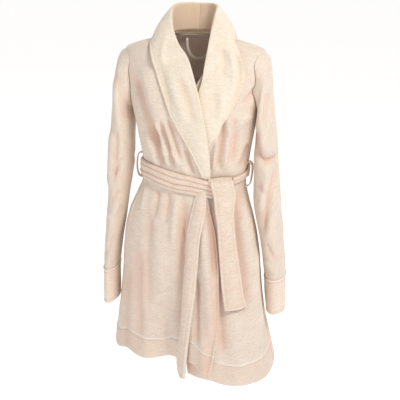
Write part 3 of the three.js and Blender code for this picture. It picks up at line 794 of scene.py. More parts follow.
def left_edge(z):
    """Angle of the under front's free edge."""
    return read(LEFT_EDGE, -z)[0] * DEGREE


def no_lift(angle):
    """The layer on the body's own surface."""
    return 0 * angle


def under_lift(angle):
    """The under front lies behind the upper one, and comes out to the surface beyond 40 to 65 degrees."""
    return UNDER_LIFT * (1 - smooth((angle / DEGREE - 40) / 25))


PANELS = {
    "back": {"start": lambda z: side_edge(z, 1, 1), "end": lambda z: 2 * np.pi + side_edge(z, -1, 1),
             "lift": no_lift, "hem": BACK_HEM, "free": None, "width": 470},
    "right": {"start": lambda z: side_edge(z, -1, -1), "end": right_edge, "lift": no_lift, "hem": RIGHT_HEM,
              "free": "end", "width": 300},
    "left": {"start": left_edge, "end": lambda z: side_edge(z, 1, -1), "lift": under_lift, "hem": LEFT_HEM,
             "free": "start", "width": 260},
}


def row_heights():
    """Heights of a panel's rows: close together over the shoulder's slope and at the hem's stitching and edge."""
    shoulder = ARMHOLE_TOP * (np.arange(18) / 18) ** 1.4
    length = ARMHOLE_TOP - HEM_Z
    down = graded(length, 5.2, 1.6, [(length - HEM_BAND + 3, 6), (length, 4)])
    return np.concatenate([shoulder, ARMHOLE_TOP - down])


def hem_shift(part, angle, z):
    """How far the rows move down to follow the hem: fully near it, and not at all above HEM_SLIDE."""
    hem = read(part["hem"], angle / DEGREE)[0]
    return (hem - HEM_Z) * smooth((-z - HEM_SLIDE["from"]) / HEM_SLIDE["over"])


def panel_place(part, share, z, lift=0.0):
    """Point of a panel at a share of the way from its start to its end, at the row of height z."""
    angle = part["start"](z) + (part["end"](z) - part["start"](z)) * share
    height = z + hem_shift(part, angle, z)
    return on_body(angle, height, part["lift"](angle) + lift), skin_normal(angle, height), angle, height


def panel_surface(part, fabric):
    """Outer and inner grids of a panel. The free edge and the hem are rolled: a low ridge, then a groove where
    the stitching pulls the layers together. The hem's turned-up band is one layer thicker."""
    zones = {"end": [(part["width"], 10)], "start": [(0, 10)], None: []}[part["free"]]
    share = graded(part["width"], 4.2, 1.4, zones) / part["width"]
    z, u = row_heights()[:, None], share[None, :]
    point, normal, angle, height = panel_place(part, u, z)
    from_edge = running_length(point, 1)
    if part["free"] == "end":
        from_edge = from_edge[:, -1:] - from_edge
    if part["free"] is None:
        from_edge = from_edge + 100
    from_hem = height - read(part["hem"], angle / DEGREE)[0]
    band = 0.9 * smooth((HEM_BAND - from_hem) / 3)
    groove = -1.8 * hump(from_hem - HEM_BAND + 3, 2.4)
    piping = rolled(from_edge, *PANEL_ROLL)
    to_start, to_end = share * part["width"], (1 - share) * part["width"]
    seam = {None: hump(to_start, 3) + hump(to_end, 3), "end": hump(to_start, 3), "start": hump(to_end, 3)}
    seam = seam[part["free"]]
    rounding = 1 - 0.75 * np.maximum(hump(from_edge, 1.2), hump(from_hem, 1.6))
    extra = band + groove + piping - 0.9 * seam
    thick = (fabric + band) * rounding
    outer = point + normal * (extra - 0.5 * (fabric - fabric * rounding))[..., None]
    inner = outer - normal * thick[..., None]
    # Painted shade down in the fold valleys and in the groove along the hem's stitching.
    deep = np.clip(-relief(angle, height) / 9, 0, 1) + 0.15 * hump(from_hem - HEM_BAND + 2, 3)
    # Painted highlight on the rolled edge's ridge and at the hem's edge, and just above the hem's stitching,
    # where it also stands in for the pale thread.
    pale = 0.35 * hump(from_edge - 2.6, 2.0) + hump(from_hem - HEM_BAND - 0.5, 2.7)
    pale = pale + 0.25 * hump(from_hem - 2, 3)
    # Painted shade in the valleys and in the groove beside the edge's stitching; the hem's band is tinted a
    # little toward the shade colour too.
    painted_shade = 0.46 * deep + 0.16 * smooth((HEM_BAND - from_hem) / 4) + 0.22 * hump(from_edge - 8.5, 2.6)
    # More painted shade below the belt near the free edge, where the cloth between the lapped fronts is in shade.
    below = 0.2 * smooth((-height - 430) / 80) + 0.25 * smooth((-height - 560) / 200)
    # Painted shade in the seams' grooves, less the painted highlight.
    painted_shade = painted_shade + 0.45 * seam - pale + below * hump(from_edge - 18, 26)
    return outer, inner, np.clip(painted_shade, -1, 1)


def panel_stitches(part, name):
    """Twin rows above the hem and, on the fronts, a row beside the free edge and one by the shoulder seam."""
    share = np.linspace(0.004, 0.996, 260)
    rows = []
    for drop in (HEM_BAND - 1, HEM_BAND - 6):
        rows.append(panel_place(part, share, HEM_Z + drop + 0 * share, 0.5)[:2])
    if part["free"]:
        side, top = (-1, -120) if part["free"] == "end" else (1, -380)
        z = np.linspace(top, HEM_Z + 4, 400)
        wide = running_length(panel_place(part, np.linspace(0, 1, 60)[None], z[:, None])[0], 1)[:, -1]
        inset = 8.5 / wide
        rows.append(panel_place(part, 1 - inset if side < 0 else inset, z, 0.4)[:2])
        z = np.linspace(-6, ARMHOLE_TOP + 1, 60)
        angle = angle_at_y(z, NECK_SEAM_Y + (SHOULDER_SEAM_Y - NECK_SEAM_Y) * z / ARMHOLE_TOP - 4, side)
        rows.append((on_body(angle, z, 0.4), skin_normal(angle, z)))
    return stitches(name, rows)


def under_surface(part, top, shares, drop, thickness):
    """Outer and inner grids of a layer that backs a stretch of a panel, drop millimetres inside it."""
    z = np.linspace(top, HEM_Z + 8, 150)[:, None]
    share = np.linspace(*shares, 16)[None]
    point, normal, _, _ = panel_place(part, share, z)
    outer = point - normal * drop
    return outer, outer - normal * thickness


# Pocket bag: its top, its height, the angle at which it starts near the side seam, and how many degrees it
# reaches forward. The edge of its opening: top, height, angle at the top, and how far it curves forward.
POCKET = {"top": -472, "height": 166, "angle": 84, "reach": 32}
POCKET_EDGE = {"top": -450, "height": 84, "angle": 74, "curve": 7}


def pocket_surface(side):
    """A flat bag inside the front, from the side seam: it narrows at its top and bottom corners."""
    v = np.linspace(0, 1, 60)[:, None]
    u = np.linspace(0, 1, 30)[None]
    z = POCKET["top"] - POCKET["height"] * v
    angle = side * (POCKET["angle"] + (-POCKET["reach"] + 10 * np.abs(2 * v - 1) ** 3) * u) * DEGREE
    point = on_body(angle, z + 0 * u, UNDER_LIFT - 2)
    normal = skin_normal(angle, z + 0 * u)
    edge = np.minimum(np.minimum(u, 1 - u) * 90, np.minimum(v, 1 - v) * POCKET["height"])
    thick = 1.2 + 2.4 * smooth(edge / 8)
    return point, point - normal * thick[..., None]


def pocket_edge(side):
    """The rolled edge of the pocket's slanted opening: a half-round cord 5 mm wide along an arc on the skirt,
    narrower at both ends."""
    t = np.linspace(0, 1, 60)[:, None]
    z = POCKET_EDGE["top"] - POCKET_EDGE["height"] * t
    angle = (side * (POCKET_EDGE["angle"] - POCKET_EDGE["curve"] * np.sin(np.pi * 0.5 * t)) + 8) * DEGREE
    turn = np.linspace(0, np.pi, 9)[None]
    wide = 2.6 * np.sin(np.pi * np.clip(t, 0.02, 0.98)) ** 0.3
    point = on_body(angle, z, 0.2)
    normal = skin_normal(angle, z)
    across = unit(np.cross(normal, np.gradient(point, axis=0)))
    rise = (np.sin(turn) * 2.0 * (wide / 2.6))[..., None]
    outer = point + across * (-np.cos(turn) * wide)[..., None] + normal * rise
    return outer, point + across * (-np.cos(turn) * wide)[..., None] - 0.8 * normal


# ---- Sleeves ----
def ring_points(row, side, turn):
    """Ellipse from the sleeve's outer line through its front to its inner line."""
    ox, oz, ix, iz, cy, depth = row
    outer, inner = np.array([side * ox, cy, oz]), np.array([side * ix, cy, iz])
    middle, arm = (outer + inner) / 2, (outer - inner) / 2
    return middle + arm * np.cos(turn)[:, None] + np.array([0, -1, 0]) * (np.sin(turn) * depth)[:, None]


def armhole_points(side, turn):
    """The armhole's oval on the body."""
    rise = np.cos(turn)
    z = ARMHOLE_Z + ARMHOLE_HEIGHT * rise
    y = SHOULDER_SEAM_Y * smooth(rise) - ARMHOLE_DEPTH * np.sin(turn)
    return on_body(angle_at_y(z, y, side), z)


def tube(rings, share):
    """Points through the rings at shares of the way along them, and their outward normals."""
    point = through(rings, share)
    normal = grid_normals(point, True)
    if np.sum((point - point.mean(1, keepdims=True)) * normal) < 0:
        normal = -normal
    return point, normal


def sleeve_surface(which, fabric):
    """Tube through the armhole and the sleeve's rings, with folds in front and behind and ripples all round."""
    side = SIDES[which]
    turn = np.linspace(0, 2 * np.pi, SLEEVE_SIDES, endpoint=False)
    rings = np.stack([armhole_points(side, turn)] + [ring_points(r, side, turn) for r in SLEEVE_RINGS[which]])
    lengths = (running_length(rings[:, 0], 0) + running_length(rings[:, SLEEVE_SIDES // 2], 0)) / 2
    down = graded(lengths[-1], 4.6, 1.6, [(0, 8), (lengths[-1], 10)])
    share = np.interp(down, lengths, np.arange(len(rings))) / (len(rings) - 1)
    point, normal = tube(rings, share)
    x, z = point[..., 0], point[..., 2]
    front = smooth(np.sin(turn) / 0.4)[None]
    behind = smooth(-np.sin(turn) / 0.4)[None]
    fade = smooth(down / 26)[:, None] * smooth((lengths[-1] - down) / 18)[:, None]
    folds = fold_field(x, z, SLEEVE_FOLDS[which])
    rear = fold_field(side * x, z, ELBOW_FOLDS)
    small = ripples(x + 60 * np.sin(turn)[None], z, 1.4, 11 + side)
    strength = SLEEVE_FOLD_STRENGTH
    height = (strength["front"] * folds * front + strength["behind"] * rear * behind + small) * fade
    height = height - 0.4 * hump(down, 4)[:, None] - 1.0 * hump(lengths[-1] - down, 3)[:, None]
    outer = point + normal * height[..., None]
    # The third grid is painted shade: darker down in the fold valleys and in the dips at both ends.
    return outer, outer - normal * fabric, np.clip(-height / 11, 0, 1) * 0.7


def cuff_surface(which):
    """Doubled band: a raised ridge at its top seam, a groove beside it, and a rolled lower edge."""
    side = SIDES[which]
    turn = np.linspace(0, 2 * np.pi, SLEEVE_SIDES, endpoint=False)
    rings = np.stack([ring_points(r, side, turn) for r in CUFF_RINGS[which]])
    length = float(running_length(rings[:, 0], 0)[-1])
    down = graded(length, 4.6, 1.2, [(0, 12), (length, 12)])
    point, normal = tube(rings, down / length)
    s = down[:, None]
    end = length - s
    waves = ripples(point[..., 0] + 50 * np.sin(turn)[None], point[..., 2], 1.4, 17 + side)
    profile = rolled(s, *CUFF_TOP_ROLL) + 0.5 * hump(s - 12, 3) + rolled(end, *CUFF_END_ROLL)
    outer = point + normal * (profile + waves * smooth(s / 12))[..., None]
    thick = CUFF_THICKNESS * (1 - 0.6 * hump(end, 1.6)) + 0 * turn[None]
    # Painted shade in the groove below the top seam; painted highlight on the top seam's ridge and on the rolled
    # lower edge.
    painted_shade = 0.3 * hump(s - 8.5, 2.6) - 0.5 * hump(s - 3, 2.2) - 0.3 * hump(end - 2.5, 2) + 0 * waves
    return outer, outer - normal * thick[..., None], painted_shade, normal, down, length


# ---- Collar ----
def under_belt(z):
    """How far the collar's front end sinks to pass behind the belt."""
    return COLLAR_SINK["depth"] * smooth((-z - COLLAR_SINK["from"]) / COLLAR_SINK["over"])


def collar_stations(which):
    """Roll line, outer edge and inner seam of each station, as points."""
    side = SIDES[which]
    high, low = np.array(COLLAR_LIFTS[which])
    cloth = PANELS[which]["lift"]
    stations = NECK_STATIONS + CHEST_STATIONS[which]
    rows = []
    for number, station in enumerate(stations):
        share = smooth((number / (len(stations) - 1) - 0.45) / 0.4)
        row = []
        for place, lift in zip(station, high + (low - high) * share):
            if len(place) == 3:
                row.append((side * abs(place[0]), place[1], place[2]))
            else:
                x, z = np.array(place, float)
                height = lift - under_belt(z) + cloth(chest_angle(x, z))
                row.append(tuple(on_chest(x, z, height, COLLAR_FOLLOWS)))
        rows.append(row)
    return np.array(rows, float)


def collar_surface(which):
    """Cross-section: a gently crowned fall from the outer edge to the roll line, a round turn there, and the
    stand down to the neck seam. Sections are carried through the stations on a smooth curve."""
    stations = collar_stations(which)
    v = np.linspace(0, 1, 190)
    roll, edge, seam = np.moveaxis(through(stations, v), 1, 0)
    fall, stand = unit(edge - roll), unit(seam - roll)
    inward = unit(fall + stand)
    out = unit(fall - stand - inward * np.sum((fall - stand) * inward, -1, keepdims=True))
    radius = (COLLAR["roll_radius"] - COLLAR["narrows"] * smooth((v - 0.5) / 0.4))[:, None]
    centre = roll + inward * radius
    t = (graded(90, 3.0, 1.2, [(0, 8)]) / 90)[None, :, None]
    top = centre + out * radius
    crown = COLLAR["crown"] * np.sin(np.pi * t[..., 0]) * smooth((1 - v) / 0.15)[:, None]
    across = np.linalg.norm(edge - top, axis=-1)[:, None]
    crown = crown * np.clip(across / 70, 0.1, 1)
    fall_part = edge[:, None] * (1 - t) + top[:, None] * t + out[:, None] * crown[..., None]
    high, low = np.array(COLLAR_LIFTS[which])
    share = smooth((v - 0.45) / 0.4)[:, None, None]
    lifts = high + (low - high) * share
    lift = lifts[..., 1] * (1 - t[..., 0]) + (lifts[..., 0] + 1) * t[..., 0] + 0.5 * crown
    x, z = fall_part[..., 0], np.minimum(fall_part[..., 2], -4)
    cloth = PANELS[which]["lift"]
    angle = chest_angle(x, z)
    lift = lift - under_belt(z) + 0.4 * np.maximum(relief(angle, z), 0)
    laid = on_body(angle, z, lift + cloth(angle), COLLAR_FOLLOWS)
    settle = smooth((v - 0.38) / 0.12)[:, None, None]
    fall_part = fall_part * (1 - settle) + laid * settle
    arc = np.linspace(0.5 * np.pi, 1.5 * np.pi, 11)[None, 1:-1, None]
    round_turn = out[:, None] * np.sin(arc) + inward[:, None] * np.cos(arc)
    turn_part = centre[:, None] + radius[:, None] * round_turn
    w = np.linspace(0, 1, 12)[None, :, None]
    foot = centre - out * radius
    stand_part = foot[:, None] * (1 - w) + seam[:, None] * w
    line = np.concatenate([fall_part, turn_part, stand_part], 1)
    for _ in range(4):
        line[:, 1:-1] = (line[:, :-2] + 2 * line[:, 1:-1] + line[:, 2:]) / 4
    normal = grid_normals(line)
    if np.sum(normal[:, :20] * out[:, None]) < 0:
        normal = -normal
    x, z = line[..., 0], line[..., 2]
    in_front = smooth((-line[..., 1] - 30) / 30)
    waves = fold_field(x, z, COLLAR_FOLDS[which]) * in_front + ripples(x + line[..., 1], z, 1.0, 23)
    from_edge = running_length(line, 1)
    fall_share = np.zeros(line.shape[1])
    fall_share[:t.shape[1]] = np.sin(np.pi * np.clip(np.linspace(0, 1.15, t.shape[1]), 0, 1)) ** 0.5
    height = waves * fall_share[None] + rolled(from_edge, *COLLAR_ROLL)
    ends = smooth(v / 0.02)[:, None]
    line = line + normal * (height * ends)[..., None]
    thick = COLLAR["thickness"] * (1 - 0.6 * hump(from_edge, 1.5))
    thick = thick * (1 - 0.6 * hump((1 - v) * 400, 4))[:, None]
    outer = line + normal * (thick / 2)[..., None]
    inner = line - normal * (thick / 2)[..., None]
    # Painted shade down in the fold valleys and along the outer edge; the turn and the stand, inside the neck,
    # are painted in shade.
    painted_shade = np.clip(-waves / 8, 0, 1) * 0.6 + 0.5 * hump(from_edge, 3)
    painted_shade[:, t.shape[1] + 4:] = 0.8
    return outer, inner, np.clip(painted_shade, 0, 1), normal, from_edge


# ---- Belt ----
def belt_surface(start, end, grooves):
    """A band round the waist with its edges rounded over and long folds pressed into it. Each groove is its
    share of the way down at the band's start and at its end, and its depth."""
    share = np.linspace(0, 1, max(12, int(abs(end - start) * 0.9)))[None]
    v = graded(1, 0.03, 0.012, [(0, 0.05), (1, 0.05)])[:, None]
    degrees = start + (end - start) * share
    upper, lower = read(BELT_EDGES, degrees)
    wander = 1.2 * np.sin(degrees / 9) + 0.8 * np.sin(degrees / 4 + 1)
    z = upper + (lower - upper) * v + wander * np.sin(np.pi * v)
    crown = np.maximum(1 - np.abs(2 * v - 1) ** 5, 0) ** 0.5 + 0 * share
    pressed = 0 * crown
    for first, last, depth in grooves:
        place = first + (last - first) * share
        pressed = pressed + depth * hump(v - place, 0.045)
        pressed = pressed - 0.35 * depth * hump(np.abs(v - place) - 0.11, 0.06)
    height = crown * (BELT_THICKNESS + 1.6 - 1.0 * pressed)
    angle = degrees * DEGREE + 0 * v
    outer = on_body(angle, z, BELT_LIFT + height, BELT_FOLLOWS)
    inner = on_body(angle, z, BELT_LIFT - 0.8, BELT_FOLLOWS)
    # Painted shade down in the pressed grooves and along both rounded edges.
    painted_shade = np.clip(pressed / 3, 0, 1) * 0.95 + 0.5 * np.exp(-np.minimum(v, 1 - v) / 0.03)
    return outer, inner, np.clip(painted_shade, 0, 1)


def knot_surface():
    """A soft block over the end of the run, with the turns of the belt round it pressed in as three slanted
    grooves."""
    u = np.linspace(0, 1, 50)[None]
    v = np.linspace(0, 1, 46)[:, None]
    x = KNOT["left"] + (KNOT["right"] - KNOT["left"]) * u + 0 * v
    z = KNOT["top"] + (KNOT["bottom"] - KNOT["top"]) * v - 8 * np.sin(np.pi * u) * (v - 0.5)
    round_off = (1 - np.abs(2 * u - 1) ** 4) ** 0.5 * (1 - np.abs(2 * v - 1) ** 4) ** 0.5
    turns = sum(2.2 * hump(v + 0.25 * u - place, 0.07) for place in (0.35, 0.65, 0.95))
    height = KNOT["lift"] * round_off * (1 - 0.12 * turns)
    outer = on_chest(x, z, BELT_LIFT + height, 0)
    inner = on_chest(x, z, BELT_LIFT - 0.5 + 0 * height, 0)
    # The third grid is painted shade: in the grooves between the turns, and a fifth of the way over the whole
    # knot.
    return outer, inner, np.clip(0.35 * turns + 0.2, 0, 1)


def tail_surface(rows, thickness, over=0.0, bow=2.0, roll=1.0, tuck=0.0):
    """A hanging end of the belt: a doubled strip between two smooth borders, bowed across, with a rolled ridge
    along both edges. With over, its top turns back over the knot in a half circle of that radius. With tuck,
    its left border sinks by that much into the fold beside it."""
    rows = np.asarray(rows, float)
    length = rows[0, 0] - rows[-1, 0]
    v = graded(length, 4.5, 1.4, [(length, 8)]) / length
    z, left, right, lift = np.moveaxis(through(rows, v), -1, 0)[..., None]
    u = graded(1, 0.06, 0.025, [(0, 0.12), (1, 0.12)])[None]
    x = left + (right - left) * u
    from_side = np.minimum(u, 1 - u) * (right - left)
    from_end = (1 - v[:, None]) * length
    edge = np.minimum(from_side, from_end)
    ridge = roll * rolled(edge, *TAIL_ROLL)
    height = lift + bow * np.sin(np.pi * u ** (1 + 0.1 * tuck)) + ridge + ripples(3 * x, z, *TAIL_RIPPLE)
    height = height - tuck * (1 - smooth(u / 0.3)) * smooth(from_end / 240)
    full = thickness * (1 - 0.6 * hump(edge, 1.4))
    z = z + 0 * u
    angle = chest_angle(x, z)
    outer = on_body(angle, z, height + full / 2, TAIL_FOLLOWS)
    inner = on_body(angle, z, height - full / 2, TAIL_FOLLOWS)
    if over:
        turn = np.linspace(np.pi, 0, 14)[:-1][:, None, None]
        normal = skin_normal(angle[:1], z[:1])[0][None]
        up = np.array([0, 0, 1.0])

        def turned(grid, radius):
            centre = grid[:1] - normal * radius
            back = centre + normal * radius * np.cos(turn) + up * radius * np.sin(turn) * 0.9
            return np.concatenate([back, grid], 0)

        outer, inner = turned(outer, over + thickness / 2), turned(inner, over - thickness / 2)
        edge = np.concatenate([np.repeat(edge[1:2], 13, 0), edge], 0)
    # Painted shade in the groove inside each edge and painted highlight on the rolled edge, faded on the tucked
    # side, and a faint even tint of the shade colour over the whole tail.
    crisp = 1.0 if not tuck else smooth((u - 0.5) / 0.2)
    painted_shade = rolled(edge, *TAIL_PAINTED_SHADE_AND_HIGHLIGHT) * crisp + 0.04
    return outer, inner, np.clip(painted_shade, -1, 1)


def tail_stitches(name, rows, spans):
    """Rows of thread beside the borders of a tail. Each span is its inset from the border, then its start and
    end as shares of the tail; a positive inset is from the left border and a negative one from the right."""
    rows = np.asarray(rows, float)
    threads = []
    for inset, first, last in spans:
        v = np.linspace(first, last, 300)
        z, left, right, lift = np.moveaxis(through(rows, v), -1, 0)
        x = left + inset if inset > 0 else right + inset
        angle = chest_angle(x, z)
        bow = 2.0 * np.sin(np.pi * (x - left) / (right - left))
        height = lift + bow + 2.3 + ripples(3 * x, z, *TAIL_RIPPLE)
        threads.append((on_body(angle, z, height, TAIL_FOLLOWS), skin_normal(angle, z)))
    return stitches(name, threads, FINE_THREAD)


def loop_surface(side):
    """A narrow band that stands off the side seam in a C: height by cosine, reach by a flattened sine."""
    turn = np.pi * np.linspace(0, 1, 60)[:, None]
    across = np.linspace(-1, 1, 9)[None]
    angle = side * LOOP["angle"] * DEGREE + across * LOOP["width"] / 2 / LOOP["radius"]
    middle, half = (LOOP["top"] + LOOP["bottom"]) / 2, (LOOP["top"] - LOOP["bottom"]) / 2
    middle = middle - LOOP["left_drop"] * (side > 0)
    crown = 0.5 * (1 - across ** 4)

    def place(inset):
        z = middle + (half - inset) * np.cos(turn)
        lift = 0.6 + (LOOP["reach"] - inset) * np.sin(turn) ** 0.6
        return on_body(angle + 0 * turn, z + 0 * across, lift + 0 * across, 0)

    return place(-crown), place(LOOP["thickness"] + 0 * crown)


# ---- Inside the neck ----
TAPE = {"half_turn": 58, "top": -2, "bottom": -10, "drop": 4.4, "thickness": 1.1}
HANGER = {"half_width": 36, "length": 58, "band": 7, "top": -14, "y": 46, "lean": 6, "thickness": 0.9}
LABEL = {"half_width": 24, "top": -90, "bottom": -130, "y": 77.4, "thickness": 0.8}


def tape_surface():
    """A strip along the back neck seam, inside the back panel."""
    angle = (180 + np.linspace(-TAPE["half_turn"], TAPE["half_turn"], 90))[None] * DEGREE
    z = np.linspace(TAPE["top"], TAPE["bottom"], 6)[:, None]
    outer = on_body(angle + 0 * z, z + 0 * angle, -TAPE["drop"], 0)
    return outer, outer - TAPE["thickness"] * skin_normal(angle + 0 * z, z + 0 * angle)


def hanger_surface():
    """A woven band bent in a U below the tape."""
    turn = np.pi * np.linspace(0, 1, 60)[:, None]
    u = np.linspace(0, 1, 7)[None]
    x = -(HANGER["half_width"] - u * HANGER["band"]) * np.cos(turn)
    down = (HANGER["length"] - u * HANGER["band"]) * np.sin(turn) ** 0.7
    y = HANGER["y"] - down * math.sin(HANGER["lean"] * DEGREE)
    z = HANGER["top"] - down
    front = np.stack(np.broadcast_arrays(x, y - 0.5 * (1 - (2 * u - 1) ** 4), z), -1)
    back = np.stack(np.broadcast_arrays(x, y + HANGER["thickness"], z), -1)
    return front, back


def label_surface():
    """A small blank label sewn flat inside the back, below the tape."""
    x = np.linspace(-LABEL["half_width"], LABEL["half_width"], 20)[None]
    z = np.linspace(LABEL["top"], LABEL["bottom"], 18)[:, None]
    y = LABEL["y"] - 0.03 * (LABEL["top"] - z) + 0.6 * np.sin(x / 9)
    grid = np.stack(np.broadcast_arrays(x, y, z), -1)
    return grid, grid - np.array([0, LABEL["thickness"], 0])


# ---- Settings a user would change ----
def length_setting(name, description, default):
    """A length in millimetres."""
    return bpy.props.FloatProperty(name=name, description=description, default=default, min=0.1, unit="NONE")


def colour_setting(name, description, default):
    """A colour, given as it looks on screen."""
    return bpy.props.FloatVectorProperty(name=name, description=description, default=linear(*default), size=3,
                                         min=0, max=1, subtype="COLOR")


class RobeSizes(bpy.types.PropertyGroup):
    """Thicknesses of the robe's cloth."""
    fabric: length_setting("Knit thickness", "One layer of brushed knit, in millimetres", KNIT)
    belt: length_setting("Belt thickness", "The doubled belt, in millimetres", 4.4)


class RobeColours(bpy.types.PropertyGroup):
    """Colours of the robe's cloths."""
    body: colour_setting("Body", "Knit of the body and the sleeves", (238, 221, 205))
    # The light colours also give the painted highlights, mixed with white.
    body_light: colour_setting("Body, light", "Paler clouds in the knit", (243, 228, 213))
    # Painted shade colour, laid on in folds, grooves, seams and under edges.
    fold: colour_setting("Folds", "Warmer shade down in folds and under edges", (229, 189, 171))
    collar: colour_setting("Collar", "Knit of the collar", (246, 232, 213))
    collar_light: colour_setting("Collar, light", "Paler clouds in the collar", (250, 238, 221))
    # Painted shade colour of the collar's fold valleys, its outer edge and its stand.
    collar_fold: colour_setting("Collar folds", "Shade down in the collar's folds", (226, 198, 170))
    belt: colour_setting("Belt", "Knit of the belt", (240, 219, 202))
    cuff: colour_setting("Cuffs", "Knit of the cuffs", (246, 226, 210))
    cuff_light: colour_setting("Cuffs, light", "Paler clouds in the cuffs", (249, 232, 217))
    thread: colour_setting("Thread", "Sewing thread", (252, 234, 214))
    tape: colour_setting("Tape", "Neck tape, hanging loop and label", (244, 232, 220))


class StageSettings(bpy.types.PropertyGroup):
    """Camera and floor."""
    turn: bpy.props.FloatProperty(name="Camera turn", description="Round the robe from its front",
                                  default=12 * DEGREE, subtype="ANGLE")
    distance: bpy.props.FloatProperty(name="Camera distance", description="Level distance from the neck",
                                      default=2.45, unit="LENGTH")
    height: bpy.props.FloatProperty(name="Camera height", description="Above the neck", default=0.42,
                                    unit="LENGTH")
    aside: bpy.props.FloatProperty(name="Camera aside", description="To its own right", default=0.013,
                                   unit="LENGTH")
    pitch: bpy.props.FloatProperty(name="Camera pitch", description="Down from level", default=19.9 * DEGREE,
                                   subtype="ANGLE")
    lens: bpy.props.FloatProperty(name="Lens", description="Focal length in millimetres on a 36 mm sensor",
                                  default=82.2)
    floor: bpy.props.FloatProperty(name="Floor", description="Height of the floor", default=-1.45,
                                   unit="LENGTH")


# ---- Operators ----
# Lengths of the pieces along their middles, in metres.
CUT = {"panel": 0.98, "facing": 0.5, "pocket": 0.17, "sleeve": 0.66, "cuff": 0.12, "collar": 0.62,
       "loop": 0.09, "back_neck_tape": 0.2, "hanger_loop": 0.16, "care_label": 0.05}
BELT_TURN = 370  # degrees of a run in a metre of belt


class RobePiece:
    """What every operator here shares."""
    bl_options = {"REGISTER", "UNDO"}


class ROBE_OT_panels(RobePiece, bpy.types.Operator):
    """Back panel and the two fronts, with their stitching"""
    bl_idname = "robe.panels"
    bl_label = "Panels"

    def execute(self, context):
        cloth = finish_named("body_brushed_knit")
        fabric = context.scene.robe_sizes.fabric
        nodes = {"back": "back_panel", "right": "right_front_panel", "left": "left_front_panel"}
        for which, node in nodes.items():
            outer, inner, fold = panel_surface(PANELS[which], fabric)
            piece = shell(f"{node}_cloth", outer, inner, cloth, fold=fold)
            placed(piece, "robe", "body_knit", node)
            declare(cloth_area(outer), CUT["panel"])
            placed(panel_stitches(PANELS[which], f"{node}_stitching"), "robe", "body_knit")
        return {"FINISHED"}


class ROBE_OT_linings(RobePiece, bpy.types.Operator):
    """Front facings, pocket bags and the pockets' rolled edges"""
    bl_idname = "robe.linings"
    bl_label = "Facings and pockets"

    def execute(self, context):
        cloth = finish_named("inner_plain_knit")
        fabric = context.scene.robe_sizes.fabric
        shares = {"right": (0.82, 0.985), "left": (0.015, 0.24)}
        for which, side in SIDES.items():
            outer, inner = under_surface(PANELS[which], -440, shares[which], fabric + LAYER_GAP, FACING)
            piece = shell(f"{which}_facing_cloth", outer, inner, cloth)
            placed(piece, "robe", "inner_cloth", f"{which}_front_facing")
            declare(cloth_area(outer), CUT["facing"])
            outer, inner = pocket_surface(side)
            piece = shell(f"{which}_pocket_cloth", outer, inner, cloth)
            placed(piece, "robe", "inner_cloth", f"{which}_pocket_bag")
            declare(cloth_area(outer), CUT["pocket"])
            outer, inner = pocket_edge(side)
            placed(shell(f"{which}_pocket_edge", outer, inner, finish_named("belt_brushed_knit")), "robe",
                   "body_knit")
        return {"FINISHED"}


# Two points at these distances along the armhole's axis, here for the left arm, handed to bent() with each
# sleeve.
ARMHOLE_AXIS = np.array([0.98, 0, -0.18])
SLEEVE_BEND = (ARMHOLE_AXIS * 206, ARMHOLE_AXIS * 230)


class ROBE_OT_sleeves(RobePiece, bpy.types.Operator):
    """Both sleeves and both cuffs, with the stitching round them"""
    bl_idname = "robe.sleeves"
    bl_label = "Sleeves and cuffs"

    def execute(self, context):
        fabric = context.scene.robe_sizes.fabric
        for which, side in SIDES.items():
            start, end = (b * np.array([side, 1, 1]) for b in SLEEVE_BEND)
            outer, inner, fold = sleeve_surface(which, fabric)
            piece = shell(f"{which}_sleeve_cloth", outer, inner, finish_named("body_brushed_knit"), True, fold)
            bent(piece, f"{which}_arm", "body_knit", start, end, f"{which}_sleeve")
            declare(cloth_area(outer, True), CUT["sleeve"])
            outer, inner, fold, normal, down, length = cuff_surface(which)
            piece = shell(f"{which}_cuff_cloth", outer, inner, finish_named("cuff_brushed_knit"), True, fold)
            placed(piece, f"{which}_arm", "cuff_knit", f"{which}_cuff")
            declare(cloth_area(outer, True), CUT["cuff"])
            rows = []
            for groove in (CUFF_TOP_ROLL[1][1], length - CUFF_END_ROLL[1][1]):
                row = int(np.argmin(np.abs(down - groove)))
                ring, up = (np.concatenate([grid[row], grid[row, :1]]) for grid in (outer, normal))
                rows.append((ring + 0.2 * up, up))
            placed(stitches(f"{which}_cuff_stitching", rows), f"{which}_arm", "cuff_knit")
        return {"FINISHED"}


class ROBE_OT_collar(RobePiece, bpy.types.Operator):
    """Both halves of the shawl collar"""
    bl_idname = "robe.collar"
    bl_label = "Collar"

    def execute(self, context):
        for which in SIDES:
            outer, inner, fold, normal, from_edge = collar_surface(which)
            cloth = finish_named("collar_brushed_knit")
            piece = shell(f"{which}_collar_cloth", outer, inner, cloth, fold=fold)
            placed(piece, "robe", "collar_knit", f"{which}_collar")
            declare(cloth_area(outer), CUT["collar"])
            column = int(np.argmin(np.abs(from_edge[95] - 8)))
            path, up = (grid[4:-6, column] for grid in (outer, normal))
            row = stitches(f"{which}_collar_stitching", [(path + 0.1 * up, up)], FINE_THREAD)
            placed(row, "robe", "collar_knit")
        return {"FINISHED"}


